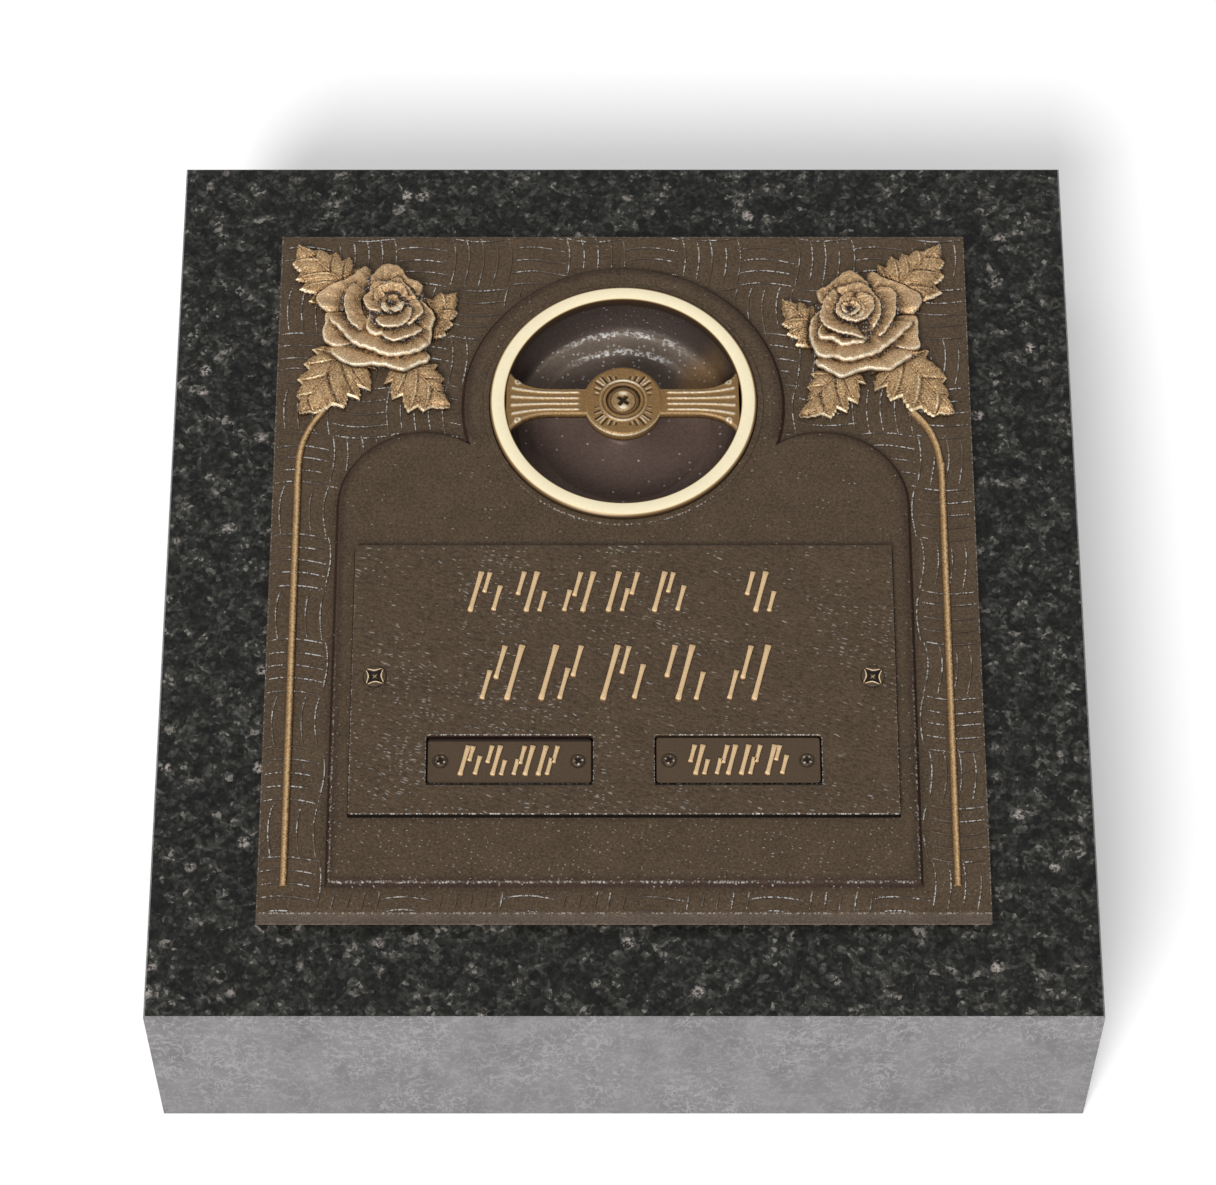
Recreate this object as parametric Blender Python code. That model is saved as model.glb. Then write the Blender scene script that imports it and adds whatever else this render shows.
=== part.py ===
"""Flat grave marker: a granite base with a bronze plaque, a name plate and a turn-down vase.

The origin is the middle of the base's underside, +Z is up, and the reader stands at -Y.
All sizes are in metres.
"""

import math

import bmesh
import bpy
from mathutils import Vector

# Granite base
BASE_WIDTH = 0.4572
BASE_DEPTH = 0.4826
BASE_HEIGHT = 0.120
BASE_ARRIS = 0.0008
POCKET_CLEARANCE = 0.0015

# Gap between pieces that rest on or in one another
SEAT_GAP = 0.0003

# Bronze plaque
PLAQUE_WIDTH = 0.354
PLAQUE_DEPTH = 0.386
PLAQUE_THICKNESS = 0.0107
PLAQUE_DRAFT = 0.0010

# Raised panel with two round shoulders and an arch round the vase
PANEL_RAISE = 0.0030
PANEL_SLOPE = 0.0020
PANEL_WIDTH = 0.2874
PANEL_FRONT_MARGIN = 0.0145
SHOULDER_RADIUS = 0.0435
SHOULDER_BELOW_VASE = 0.059
SHOULDER_SWEEP = 135
ARCH_RADIUS = 0.082
COLLAR_RADIUS = 0.0712
COLLAR_RAISE = 0.0007

# Vase, stored upside down in the plaque
VASE_FROM_BACK = 0.103
RING_RADIUS = 0.0675
RING_BAND = 0.0078
RING_PROUD = 0.0035
RING_THICKNESS = 0.0052
RING_EDGE = 0.0006
RING_CLEARANCE = 0.0005
DISH_DEPTH = 0.027
DISH_WALL = 0.004
DISH_RIM_DEPTH = 0.009
DISH_TAPER = 0.0057
DISH_CLEARANCE = 0.0008
LEDGE_WIDTH = 0.010
LEDGE_DROP = 0.0020
POST_RADIUS = 0.009

# Handle across the vase
HUB_RADIUS = 0.0195
HUB_THICKNESS = 0.0065
HUB_BELOW_RING = 0.0002
HUB_EDGE = 0.0012
HUB_RING_RADIUS = 0.0112
HUB_RING_RAISE = 0.0006
HUB_RING_SLOPE = 0.0005
HUB_RECESS_RADIUS = 0.0082
HUB_RECESS_DEPTH = 0.0014
HUB_RECESS_DRAFT = 0.0003
ARM_THICKNESS = 0.0045
ARM_BELOW_RING = 0.0012
ARM_WIDTH = 0.0150
ARM_END_WIDTH = 0.0340
ARM_END_GAP = 0.0005
ARM_ROOT = 0.6
ARM_FLARE_FROM = 0.35
ARM_FLARE_POWER = 2.6
ARM_RIBS = 4
ARM_RIB_WIDTH = 0.0009
ARM_RIB_RAISE = 0.0005
ARM_RIB_FROM_HUB = 0.002
ARM_RIB_FROM_RING = 0.004
HANDLE_SCREW_RADIUS = 0.0050
HANDLE_SHANK_RADIUS = 0.0022
HANDLE_SHANK_BITE = 0.006

# Name plate
NAME_PLATE_WIDTH = 0.267
NAME_PLATE_DEPTH = 0.1488
NAME_PLATE_THICKNESS = 0.0050
NAME_PLATE_SEAT = 0.0020
NAME_PLATE_BELOW_VASE = 0.0837
NAME_PLATE_DRAFT = 0.0004
SEAT_CLEARANCE = 0.0004
NAME_SCREW_FROM_SIDE = 0.0117
NAME_SCREW_RADIUS = 0.0053
NAME_SCREW_HEIGHT = 0.0016
NAME_SCREW_LOBES = 4
SCREW_LOBE_DEPTH = 0.11
NAME_SHANK_RADIUS = 0.0020

# Date plates, let into the name plate
DATE_PLATE_WIDTH = 0.080
DATE_PLATE_DEPTH = 0.025
DATE_PLATE_SPACING = 0.111
DATE_PLATE_FROM_FRONT = 0.0297
DATE_PLATE_SINK = {"left": 0.0018, "right": 0.0009}
DATE_JOINT = 0.0006
DATE_SCREW_FROM_SIDE = 0.0066
DATE_SCREW_RADIUS = 0.0030
DATE_SCREW_HEIGHT = 0.0009
DATE_SCREW_SEAT_RADIUS = 0.0040
DATE_SCREW_SEAT_DEPTH = 0.0006
DATE_SHANK_RADIUS = 0.0011
SHANK_CLEARANCE = 0.0003
SHANK_BITE = 0.0045

# Raised strokes in place of the names and the dates
STROKE_RAISE = 0.0010
STROKE_LEAN = 14
STROKE_WIDTH = 0.0024
STROKE_TAPER = 0.5
FIRST_ROW_FROM_TOP = 0.0268
FIRST_ROW_HEIGHT = 0.0230
FIRST_ROW_PITCH = 0.0227
FIRST_ROW_MARKS = 5
FIRST_ROW_START = -0.0783
LONE_MARK_START = 0.0576
SECOND_ROW_FROM_TOP = 0.0718
SECOND_ROW_HEIGHT = 0.0310
SECOND_ROW_PITCH = 0.0302
SECOND_ROW_MARKS = 5
DATE_MARKS = 4
DATE_MARK_HEIGHT = 0.0165
DATE_MARK_PITCH = 0.0126

# Strokes of one mark: place across the mark, middle of its height, length; all as shares
MARKS = [
    ((-0.30, 0.00, 1.00), (0.04, 0.22, 0.50), (0.34, -0.16, 0.62)),
    ((-0.32, 0.20, 0.58), (0.00, 0.00, 1.00), (0.32, -0.24, 0.50)),
    ((-0.32, -0.22, 0.52), (0.00, 0.18, 0.60), (0.32, 0.00, 1.00)),
    ((-0.30, 0.00, 1.00), (0.04, -0.20, 0.56), (0.34, 0.20, 0.56)),
]

# Roses with their leaves and stems. Reaches are shares of ROSE_REACH, lifts of ROSE_LIFT.
ROSE_REACH = 0.040
ROSE_LIFT = 0.0100
LEAF_LIFT = 0.0042
LEFT_ROSE = (0.0584, 0.0455)
RIGHT_ROSE = (0.0610, 0.0490)
STEM_WIDTH = 0.0036
STEM_LIFT = 0.0022
STEM_FROM_SIDE = (0.0135, 0.0170)
STEM_END = 0.0155
STEM_STEPS = 9
STEM_START = ((-0.78, -1.45), (0.74, -1.42))
STEM_STRAIGHT_FROM = (-3.1, -2.7)
EMBED = 0.0015

# A petal is: first angle, last angle, lift, root, then the reach at evenly spaced angles
LEFT_PETALS = [
    (-140, -56, 0.50, 0.55, (1.05, 1.03, 1.00, 0.91, 0.90, 0.99, 0.95, 0.97)),
    (186, 228, 0.50, 0.55, (0.85, 0.88, 0.98, 0.96, 0.80)),
    (117, 186, 0.60, 0.50, (0.69, 0.68, 0.68, 0.74, 0.87, 0.97, 0.86)),
    (-66, 15, 0.58, 0.45, (0.76, 0.77, 0.63, 0.60, 0.45, 0.38)),
    (17, 129, 0.70, 0.50, (0.36, 0.47, 0.46, 0.45, 0.57, 0.60, 0.53, 0.48)),
    (-170, -46, 0.75, 0.55, (0.84, 0.76, 0.75, 0.74, 0.79, 0.79, 0.79)),
    (-146, -100, 0.74, 0.60, (0.34, 0.48, 0.52, 0.48)),
    (-103, -41, 0.80, 0.60, (0.50, 0.57, 0.58, 0.57, 0.57)),
    (145, 226, 0.85, 0.64, (0.56, 0.60, 0.60, 0.60, 0.56)),
    (-57, 12, 0.80, 0.55, (0.41, 0.41, 0.44, 0.38, 0.34)),
    (6, 150, 0.86, 0.60, (0.34, 0.31, 0.31, 0.38, 0.30, 0.37, 0.34)),
    (-132, -12, 0.86, 0.50, (0.33, 0.37, 0.38, 0.38, 0.32, 0.27)),
    (119, 225, 0.90, 0.50, (0.25, 0.29, 0.36, 0.31, 0.20)),
]
RIGHT_PETALS = [
    (-122, -37, 0.50, 0.55, (0.91, 0.93, 0.99, 0.90, 0.90, 0.99, 1.00, 1.05)),
    (-42, -3, 0.50, 0.55, (0.82, 1.03, 0.94, 0.89, 0.86)),
    (-1, 66, 0.60, 0.50, (0.86, 0.95, 0.81, 0.70, 0.66, 0.68)),
    (178, 254, 0.60, 0.45, (0.36, 0.50, 0.59, 0.70, 0.79, 0.73)),
    (52, 168, 0.70, 0.50, (0.47, 0.51, 0.58, 0.49, 0.46, 0.49, 0.36)),
    (-112, -10, 0.75, 0.55, (0.74, 0.76, 0.74, 0.73, 0.73, 0.75, 0.85)),
    (-152, -66, 0.70, 0.60, (0.43, 0.58, 0.51, 0.54, 0.52, 0.53)),
    (-50, 44, 0.80, 0.62, (0.56, 0.56, 0.57, 0.60, 0.63, 0.50)),
    (118, 298, 0.84, 0.55, (0.36, 0.35, 0.36, 0.43, 0.40, 0.40, 0.50)),
    (-46, 124, 0.86, 0.62, (0.42, 0.40, 0.39, 0.38, 0.40, 0.34, 0.36)),
    (73, 220, 0.90, 0.40, (0.25, 0.20, 0.17, 0.18, 0.20)),
    (215, 433, 0.92, 0.45, (0.18, 0.20, 0.24, 0.29, 0.32, 0.25)),
]
PETAL_ROLL = 0.10
PETAL_END_DROP = 0.16
HEART_REACH = 0.34
HEART_LIFT = 0.66
BUD_REACH = 0.16
BUD_LIFT = 0.97

# A leaf is: base, tip, half-width on its left and right, teeth on its left and right
LEFT_LEAVES = [
    ((-0.435, 0.150), (-1.220, 0.910), 0.42, 0.42, 5, 5),
    ((0.440, -0.290), (0.840, 0.190), 0.28, 0.28, 4, 3),
    ((-0.560, -0.640), (-1.130, -1.585), 0.36, 0.58, 5, 4),
    ((0.165, -0.740), (0.780, -1.490), 0.27, 0.50, 4, 4),
]
RIGHT_LEAVES = [
    ((0.425, 0.210), (1.180, 1.015), 0.42, 0.48, 5, 4),
    ((-0.350, -0.290), (-0.865, 0.170), 0.38, 0.26, 4, 4),
    ((-0.060, -0.740), (-0.680, -1.540), 0.49, 0.27, 4, 4),
    ((0.590, -0.540), (1.280, -1.490), 0.33, 0.60, 4, 5),
]
LEAF_TOOTH_DEPTH = 0.22
LEAF_TOOTH_PEAK = 0.82
LEAF_RIB_RAISE = 0.30

# Places that follow from the sizes
HALF_DEPTH = PLAQUE_DEPTH / 2
HALF_WIDTH = PLAQUE_WIDTH / 2
PLAQUE_UNDER = BASE_HEIGHT + SEAT_GAP
GROUND = PLAQUE_UNDER + PLAQUE_THICKNESS
PANEL_TOP = GROUND + PANEL_RAISE
COLLAR_TOP = PANEL_TOP + COLLAR_RAISE
VASE_Y = HALF_DEPTH - VASE_FROM_BACK
RING_TOP = PANEL_TOP + RING_PROUD
RING_UNDER = RING_TOP - RING_THICKNESS
RING_SEAT = RING_UNDER - SEAT_GAP
RING_INNER = RING_RADIUS - RING_BAND
DISH_OUTER = RING_INNER + DISH_WALL
DISH_FLOOR = RING_TOP - DISH_DEPTH
DISH_UNDER = DISH_FLOOR - DISH_WALL
DISH_FOOT = RING_INNER - DISH_TAPER
OPENING_RADIUS = DISH_OUTER + DISH_CLEARANCE
SEAT_RADIUS = RING_RADIUS + RING_CLEARANCE
POCKET_RADIUS = DISH_OUTER + POCKET_CLEARANCE
POCKET_FLOOR = DISH_UNDER - POCKET_CLEARANCE
HUB_TOP = RING_TOP - HUB_BELOW_RING
HUB_UNDER = HUB_TOP - HUB_THICKNESS
POST_TOP = HUB_UNDER - SEAT_GAP
ARM_TOP = RING_TOP - ARM_BELOW_RING
ARM_UNDER = ARM_TOP - ARM_THICKNESS
ARM_REACH = RING_INNER - ARM_END_GAP
NAME_SEAT_FLOOR = PANEL_TOP - NAME_PLATE_SEAT
NAME_UNDER = NAME_SEAT_FLOOR + SEAT_GAP
NAME_TOP = NAME_UNDER + NAME_PLATE_THICKNESS
NAME_BACK = VASE_Y - NAME_PLATE_BELOW_VASE
NAME_Y = NAME_BACK - NAME_PLATE_DEPTH / 2
NAME_FRONT = NAME_BACK - NAME_PLATE_DEPTH
NAME_SCREW_X = NAME_PLATE_WIDTH / 2 - NAME_SCREW_FROM_SIDE
DATE_X = DATE_PLATE_SPACING / 2
DATE_Y = NAME_FRONT + DATE_PLATE_FROM_FRONT
DATE_SCREW_X = DATE_PLATE_WIDTH / 2 - DATE_SCREW_FROM_SIDE

# Facets of round work
RING_SEGMENTS = 48
HUB_SEGMENTS = 28
SCREW_SEGMENTS = 12
SHOULDER_SEGMENTS = 8
BUD_SEGMENTS = 12
PETAL_STATIONS = 1.5
CUT_PAST = 0.002

COLOURS = {
    "granite": ((0.045, 0.050, 0.048), 0.35, 0.0),
    "dark_bronze": ((0.085, 0.060, 0.040), 0.55, 0.6),
    "gold_bronze": ((0.450, 0.290, 0.140), 0.40, 0.9),
    "polished_bronze": ((0.900, 0.780, 0.540), 0.22, 1.0),
    "screw_bronze": ((0.060, 0.044, 0.030), 0.45, 0.7),
}


def clear_scene():
    """Empty the scene."""
    for obj in list(bpy.data.objects):
        bpy.data.objects.remove(obj, do_unlink=True)


def finish_material(name, finish):
    """A metal or stone finish of its own for one object."""
    colour, roughness, metallic = COLOURS[finish]
    material = bpy.data.materials.new(name)
    material.use_nodes = True
    shader = material.node_tree.nodes["Principled BSDF"]
    shader.inputs["Base Color"].default_value = (*colour, 1.0)
    shader.inputs["Roughness"].default_value = roughness
    shader.inputs["Metallic"].default_value = metallic
    return material


def object_from(name, shape, finish=None, smooth=False):
    """Turn a bmesh into an object; without a finish it is a guide that only cuts or joins."""
    bmesh.ops.recalc_face_normals(shape, faces=shape.faces)
    mesh = bpy.data.meshes.new(name)
    shape.to_mesh(mesh)
    shape.free()
    obj = bpy.data.objects.new(name, mesh)
    bpy.context.scene.collection.objects.link(obj)
    if finish:
        mesh.materials.append(finish_material(name + "_finish", finish))
    else:
        obj.hide_render = True
        obj.display_type = "WIRE"
    if smooth:
        mesh.shade_smooth()
        mesh.set_sharp_from_angle(angle=math.radians(30))
    return obj


def boolean(target, operand, operation, overlapping=False):
    """Join an operand to the target or cut it out; overlapping says that its own shells do."""
    modifier = target.modifiers.new(operand.name, "BOOLEAN")
    modifier.operation = operation
    modifier.solver = "EXACT"
    modifier.use_self = overlapping
    modifier.object = operand


def loft(shape, rings):
    """Closed skin through rings of points that all have the same count."""
    verts = [[shape.verts.new(point) for point in ring] for ring in rings]
    count = len(verts[0])
    for lower, upper in zip(verts, verts[1:]):
        for i in range(count):
            j = (i + 1) % count
            shape.faces.new((lower[i], lower[j], upper[j], upper[i]))
    shape.faces.new(list(reversed(verts[0])))
    shape.faces.new(verts[-1])


def prism(shape, outline, low, high, top_outline=None):
    """Upright block on an outline, with another outline on top where its sides slope."""
    top = top_outline or outline
    loft(shape, [[(x, y, low) for x, y in outline], [(x, y, high) for x, y in top]])


def rectangle(centre, width, depth):
    """Corners of a rectangle, anticlockwise."""
    x, y = centre
    return [
        (x - width / 2, y - depth / 2),
        (x + width / 2, y - depth / 2),
        (x + width / 2, y + depth / 2),
        (x - width / 2, y + depth / 2),
    ]


def arc(centre, radius, start, end, segments):
    """Points along an arc, its ends included; angles in degrees."""
    points = []
    for i in range(segments + 1):
        angle = math.radians(start + (end - start) * i / segments)
        points.append((centre[0] + radius * math.cos(angle), centre[1] + radius * math.sin(angle)))
    return points


def circle(centre, radius, segments):
    """Points round a circle."""
    return arc(centre, radius, 0, 360, segments)[:-1]


def turned(shape, profile, centre, segments):
    """Solid of revolution about an upright axis, from (radius, height) pairs that start and end on it."""
    rings = []
    for radius, height in profile[1:-1]:
        rings.append([shape.verts.new((x, y, height)) for x, y in circle(centre, radius, segments)])
    for lower, upper in zip(rings, rings[1:]):
        for i in range(segments):
            j = (i + 1) % segments
            shape.faces.new((lower[i], lower[j], upper[j], upper[i]))
    for ring, (_, height) in ((rings[0], profile[0]), (rings[-1], profile[-1])):
        tip = shape.verts.new((centre[0], centre[1], height))
        for i in range(segments):
            shape.faces.new((ring[i], ring[(i + 1) % segments], tip))


def smooth_value(values, share):
    """Read evenly spaced values with a smooth curve through them, at a share from 0 to 1."""
    place = share * (len(values) - 1)
    i = min(int(place), len(values) - 2)
    t = place - i
    before = values[max(i - 1, 0)]
    a = values[i]
    b = values[i + 1]
    after = values[min(i + 2, len(values) - 1)]
    return 0.5 * (
        2 * a + (b - before) * t
        + (2 * before - 5 * a + 4 * b - after) * t ** 2
        + (3 * a - before - 3 * b + after) * t ** 3
    )


def granite_base():
    """Granite block with a fine arris round its top and a round pocket for the vase."""
    shape = bmesh.new()
    outer = rectangle((0, 0), BASE_WIDTH, BASE_DEPTH)
    inner = rectangle((0, 0), BASE_WIDTH - 2 * BASE_ARRIS, BASE_DEPTH - 2 * BASE_ARRIS)
    rings = ((outer, 0), (outer, BASE_HEIGHT - BASE_ARRIS), (inner, BASE_HEIGHT))
    loft(shape, [[(x, y, z) for x, y in outline] for outline, z in rings])
    block = object_from("granite_base", shape, "granite")
    pocket = bmesh.new()
    prism(pocket, circle((0, VASE_Y), POCKET_RADIUS, RING_SEGMENTS), POCKET_FLOOR, BASE_HEIGHT + CUT_PAST)
    boolean(block, object_from("pocket_cutter", pocket), "DIFFERENCE")


def panel_outline(inset):
    """Panel with two round shoulders, whose inner ends run in under the arch."""
    half = PANEL_WIDTH / 2
    front = -HALF_DEPTH + PANEL_FRONT_MARGIN + inset
    shoulder_x = half - SHOULDER_RADIUS
    shoulder_y = VASE_Y - SHOULDER_BELOW_VASE
    radius = SHOULDER_RADIUS - inset
    right = arc((shoulder_x, shoulder_y), radius, 0, SHOULDER_SWEEP, SHOULDER_SEGMENTS)
    left = [(-x, y) for x, y in reversed(right)]
    return [(-half + inset, front), (half - inset, front)] + right + left


def sloped_disc(shape, radius, low, high, slope):
    """Round table with sloping sides about the vase's axis."""
    centre = (0, VASE_Y)
    prism(
        shape,
        circle(centre, radius, RING_SEGMENTS),
        low,
        high,
        circle(centre, radius - slope, RING_SEGMENTS),
    )


def petal_section(radius, root, lift, foot):
    """Radius and height of each point across a petal, from its root over its lip to its foot."""
    roll = PETAL_ROLL * ROSE_LIFT
    return [
        (radius * root, foot),
        (radius * root, foot + (lift - foot) * 0.7),
        (radius - 1.6 * roll, lift),
        (radius, lift - roll),
        (radius + 0.3 * roll, foot),
    ]


def petal(shape, centre, spec):
    """One petal of a rose: a rolled band that follows an arc about the rose's centre."""
    first, last, lift_share, root, reaches = spec
    stations = round(PETAL_STATIONS * (len(reaches) - 1)) + 1
    foot = GROUND - EMBED
    rings = []
    for i in range(stations):
        share = i / (stations - 1)
        angle = math.radians(first + (last - first) * share)
        end_drop = 1 - PETAL_END_DROP * abs(2 * share - 1) ** 3
        lift = GROUND + ROSE_LIFT * lift_share * end_drop
        radius = ROSE_REACH * smooth_value(reaches, share)
        ring = []
        for out, height in petal_section(radius, root, lift, foot):
            ring.append((centre[0] + out * math.cos(angle), centre[1] + out * math.sin(angle), height))
        rings.append(ring)
    loft(shape, rings)


def toothed_half_width(t, width, teeth):
    """Half-width of a leaf at share t of its length, with teeth that point to its tip."""
    if t < 0.4:
        body = 1 - 0.5 * ((0.4 - t) / 0.4) ** 2
    else:
        body = 1 - ((t - 0.4) / 0.6) ** 2
    place = (t * teeth) % 1.0
    rise = place / LEAF_TOOTH_PEAK if place < LEAF_TOOTH_PEAK else (1 - place) / (1 - LEAF_TOOTH_PEAK)
    if t >= 1 or t <= 0:
        rise = 0
    return width * body * (1 - LEAF_TOOTH_DEPTH + 2 * LEAF_TOOTH_DEPTH * rise)


def leaf_breaks(teeth_left, teeth_right):
    """Shares of the length where either edge has a tooth's tip or a notch."""
    shares = {0.0, 1.0}
    for teeth in (teeth_left, teeth_right):
        for k in range(teeth):
            shares.add(round(k / teeth, 4))
            shares.add(round((k + LEAF_TOOTH_PEAK) / teeth, 4))
    return sorted(shares)


def leaf(shape, centre, spec):
    """One toothed leaf, highest along its midrib."""
    base, tip, left, right, teeth_left, teeth_right = spec
    start = Vector(centre) + Vector(base) * ROSE_REACH
    along = (Vector(tip) - Vector(base)) * ROSE_REACH
    side = Vector((-along.y, along.x)).normalized() * ROSE_REACH
    edge = GROUND + LEAF_LIFT
    crest = GROUND + LEAF_LIFT * (1 + LEAF_RIB_RAISE)
    foot = GROUND - EMBED
    rings = []
    for t in leaf_breaks(teeth_left, teeth_right)[:-1]:
        middle = start + along * t
        out_left = middle + side * toothed_half_width(t, left, teeth_left)
        out_right = middle - side * toothed_half_width(t, right, teeth_right)
        rings.append([
            (out_left.x, out_left.y, foot),
            (out_left.x, out_left.y, edge),
            (middle.x, middle.y, crest),
            (out_right.x, out_right.y, edge),
            (out_right.x, out_right.y, foot),
        ])
    end = start + along
    tip_width = side * 0.012
    rings.append([
        (end.x + tip_width.x, end.y + tip_width.y, foot),
        (end.x + tip_width.x, end.y + tip_width.y, edge),
        (end.x, end.y, edge),
        (end.x - tip_width.x, end.y - tip_width.y, edge),
        (end.x - tip_width.x, end.y - tip_width.y, foot),
    ])
    loft(shape, rings)


def stem(shape, points):
    """Stem with a low rounded section along the given points."""
    foot = GROUND - EMBED
    half = STEM_WIDTH / 2
    rings = []
    for i, (x, y) in enumerate(points):
        before = Vector(points[max(i - 1, 0)])
        after = Vector(points[min(i + 1, len(points) - 1)])
        along = (after - before).normalized()
        across = Vector((-along.y, along.x)) * half
        here = Vector((x, y))
        section = ((1, foot), (1, GROUND + 0.4 * STEM_LIFT), (0.45, GROUND + STEM_LIFT))
        ring = [(here.x + across.x * s, here.y + across.y * s, z) for s, z in section]
        ring += [(here.x - across.x * s, here.y - across.y * s, z) for s, z in reversed(section)]
        rings.append(ring)
    loft(shape, rings)


def rose_spray(shape, centre, petals, leaves, stem_path):
    """A rose with its leaves and stem."""
    for spec in leaves:
        leaf(shape, centre, spec)
    for spec in petals:
        petal(shape, centre, spec)
    for reach, lift in ((HEART_REACH, HEART_LIFT), (BUD_REACH, BUD_LIFT)):
        radius = ROSE_REACH * reach
        top = GROUND + ROSE_LIFT * lift
        profile = [
            (0, GROUND - EMBED),
            (radius, GROUND - EMBED),
            (radius, top - 0.12 * ROSE_LIFT),
            (radius * 0.7, top),
            (0, top),
        ]
        turned(shape, profile, centre, BUD_SEGMENTS)
    stem(shape, stem_path)


def name_screw_place(side):
    """Middle of a name plate screw; side is -1 or 1."""
    return (side * NAME_SCREW_X, NAME_Y)


def date_screw_places():
    """Side name and middle of each date plate screw, from left to right."""
    places = []
    for side, x in (("left", -DATE_X), ("right", DATE_X)):
        places.append((side, (x - DATE_SCREW_X, DATE_Y)))
        places.append((side, (x + DATE_SCREW_X, DATE_Y)))
    return places


def date_screw_floor(side):
    """Height of the face that a date plate screw's head sits on."""
    return NAME_TOP - DATE_PLATE_SINK[side] - DATE_SCREW_SEAT_DEPTH


def bronze_plaque():
    """The plaque, cast in one with its panel, collar and roses."""
    shape = bmesh.new()
    prism(
        shape,
        rectangle((0, 0), PLAQUE_WIDTH, PLAQUE_DEPTH),
        PLAQUE_UNDER,
        GROUND,
        rectangle((0, 0), PLAQUE_WIDTH - 2 * PLAQUE_DRAFT, PLAQUE_DEPTH - 2 * PLAQUE_DRAFT),
    )
    plaque = object_from("bronze_plaque", shape, "dark_bronze")

    relief = bmesh.new()
    below = GROUND - EMBED
    spread = PANEL_SLOPE * EMBED / PANEL_RAISE
    prism(relief, panel_outline(-spread), below, PANEL_TOP, panel_outline(PANEL_SLOPE))
    sloped_disc(relief, ARCH_RADIUS + spread, below, PANEL_TOP, PANEL_SLOPE + spread)
    sloped_disc(relief, COLLAR_RADIUS, below, COLLAR_TOP, COLLAR_RAISE)
    left = (-HALF_WIDTH + LEFT_ROSE[0], HALF_DEPTH - LEFT_ROSE[1])
    right = (HALF_WIDTH - RIGHT_ROSE[0], HALF_DEPTH - RIGHT_ROSE[1])
    rose_spray(relief, left, LEFT_PETALS, LEFT_LEAVES, stem_points(0, left))
    rose_spray(relief, right, RIGHT_PETALS, RIGHT_LEAVES, stem_points(1, right))
    boolean(plaque, object_from("plaque_relief", relief), "UNION", overlapping=True)

    opening = bmesh.new()
    steps = [
        (0, PLAQUE_UNDER - CUT_PAST),
        (OPENING_RADIUS, PLAQUE_UNDER - CUT_PAST),
        (OPENING_RADIUS, RING_SEAT),
        (SEAT_RADIUS, RING_SEAT),
        (SEAT_RADIUS, COLLAR_TOP + CUT_PAST),
        (0, COLLAR_TOP + CUT_PAST),
    ]
    turned(opening, steps, (0, VASE_Y), RING_SEGMENTS)
    boolean(plaque, object_from("opening_cutter", opening), "DIFFERENCE")

    seat = bmesh.new()
    width = NAME_PLATE_WIDTH + 2 * SEAT_CLEARANCE
    depth = NAME_PLATE_DEPTH + 2 * SEAT_CLEARANCE
    prism(seat, rectangle((0, NAME_Y), width, depth), NAME_SEAT_FLOOR, PANEL_TOP + CUT_PAST)
    boolean(plaque, object_from("name_seat_cutter", seat), "DIFFERENCE")

    holes = bmesh.new()
    places = [(name_screw_place(side), NAME_SHANK_RADIUS) for side in (-1, 1)]
    places += [(place, DATE_SHANK_RADIUS) for _, place in date_screw_places()]
    for place, radius in places:
        outline = circle(place, radius + SHANK_CLEARANCE, SCREW_SEGMENTS)
        prism(holes, outline, NAME_SEAT_FLOOR - SHANK_BITE - SEAT_GAP, NAME_SEAT_FLOOR + CUT_PAST)
    boolean(plaque, object_from("screw_hole_cutter", holes), "DIFFERENCE")


def curved_stem(start, bend_x, bend_y):
    """Stem that leaves the leaves slantwise, bends over and runs straight down the margin."""
    control = (bend_x, start[1] - 0.35 * (start[1] - bend_y))
    points = []
    for i in range(STEM_STEPS):
        t = i / (STEM_STEPS - 1)
        x = (1 - t) ** 2 * start[0] + 2 * t * (1 - t) * control[0] + t ** 2 * bend_x
        y = (1 - t) ** 2 * start[1] + 2 * t * (1 - t) * control[1] + t ** 2 * bend_y
        points.append((x, y))
    points.append((bend_x, -HALF_DEPTH + STEM_END))
    return points


def stem_points(side, rose):
    """Points of one stem, from under the leaves to the front; side is 0 on the left, 1 on the right."""
    start_x = rose[0] + STEM_START[side][0] * ROSE_REACH
    start_y = rose[1] + STEM_START[side][1] * ROSE_REACH
    margin = HALF_WIDTH - STEM_FROM_SIDE[side]
    straight_x = margin if side else -margin
    return curved_stem((start_x, start_y), straight_x, rose[1] + STEM_STRAIGHT_FROM[side] * ROSE_REACH)


def stroke(shape, centre, length, width, low, high):
    """Raised straight stroke that leans to the right and is narrower at its foot."""
    lean = math.radians(STROKE_LEAN)
    along = Vector((math.sin(lean), math.cos(lean)))
    across = Vector((along.y, -along.x))
    middle = Vector(centre)
    outline = []
    for u, v in ((-1, -STROKE_TAPER), (1, -1), (1, 1), (-1, STROKE_TAPER)):
        point = middle + along * (u * length / 2) + across * (v * width / 2)
        outline.append((point.x, point.y))
    prism(shape, outline, low, high)


def mark(shape, left, middle_y, width, height, low, high, pattern):
    """One mark of the inscription: three separate strokes that lean the same way."""
    for across, up, length in MARKS[pattern % len(MARKS)]:
        place = (left + width * (0.5 + across * 0.8), middle_y + height * up)
        size = height * length
        stroke(shape, place, size, STROKE_WIDTH * (0.6 + 0.4 * height / SECOND_ROW_HEIGHT), low, high)


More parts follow.
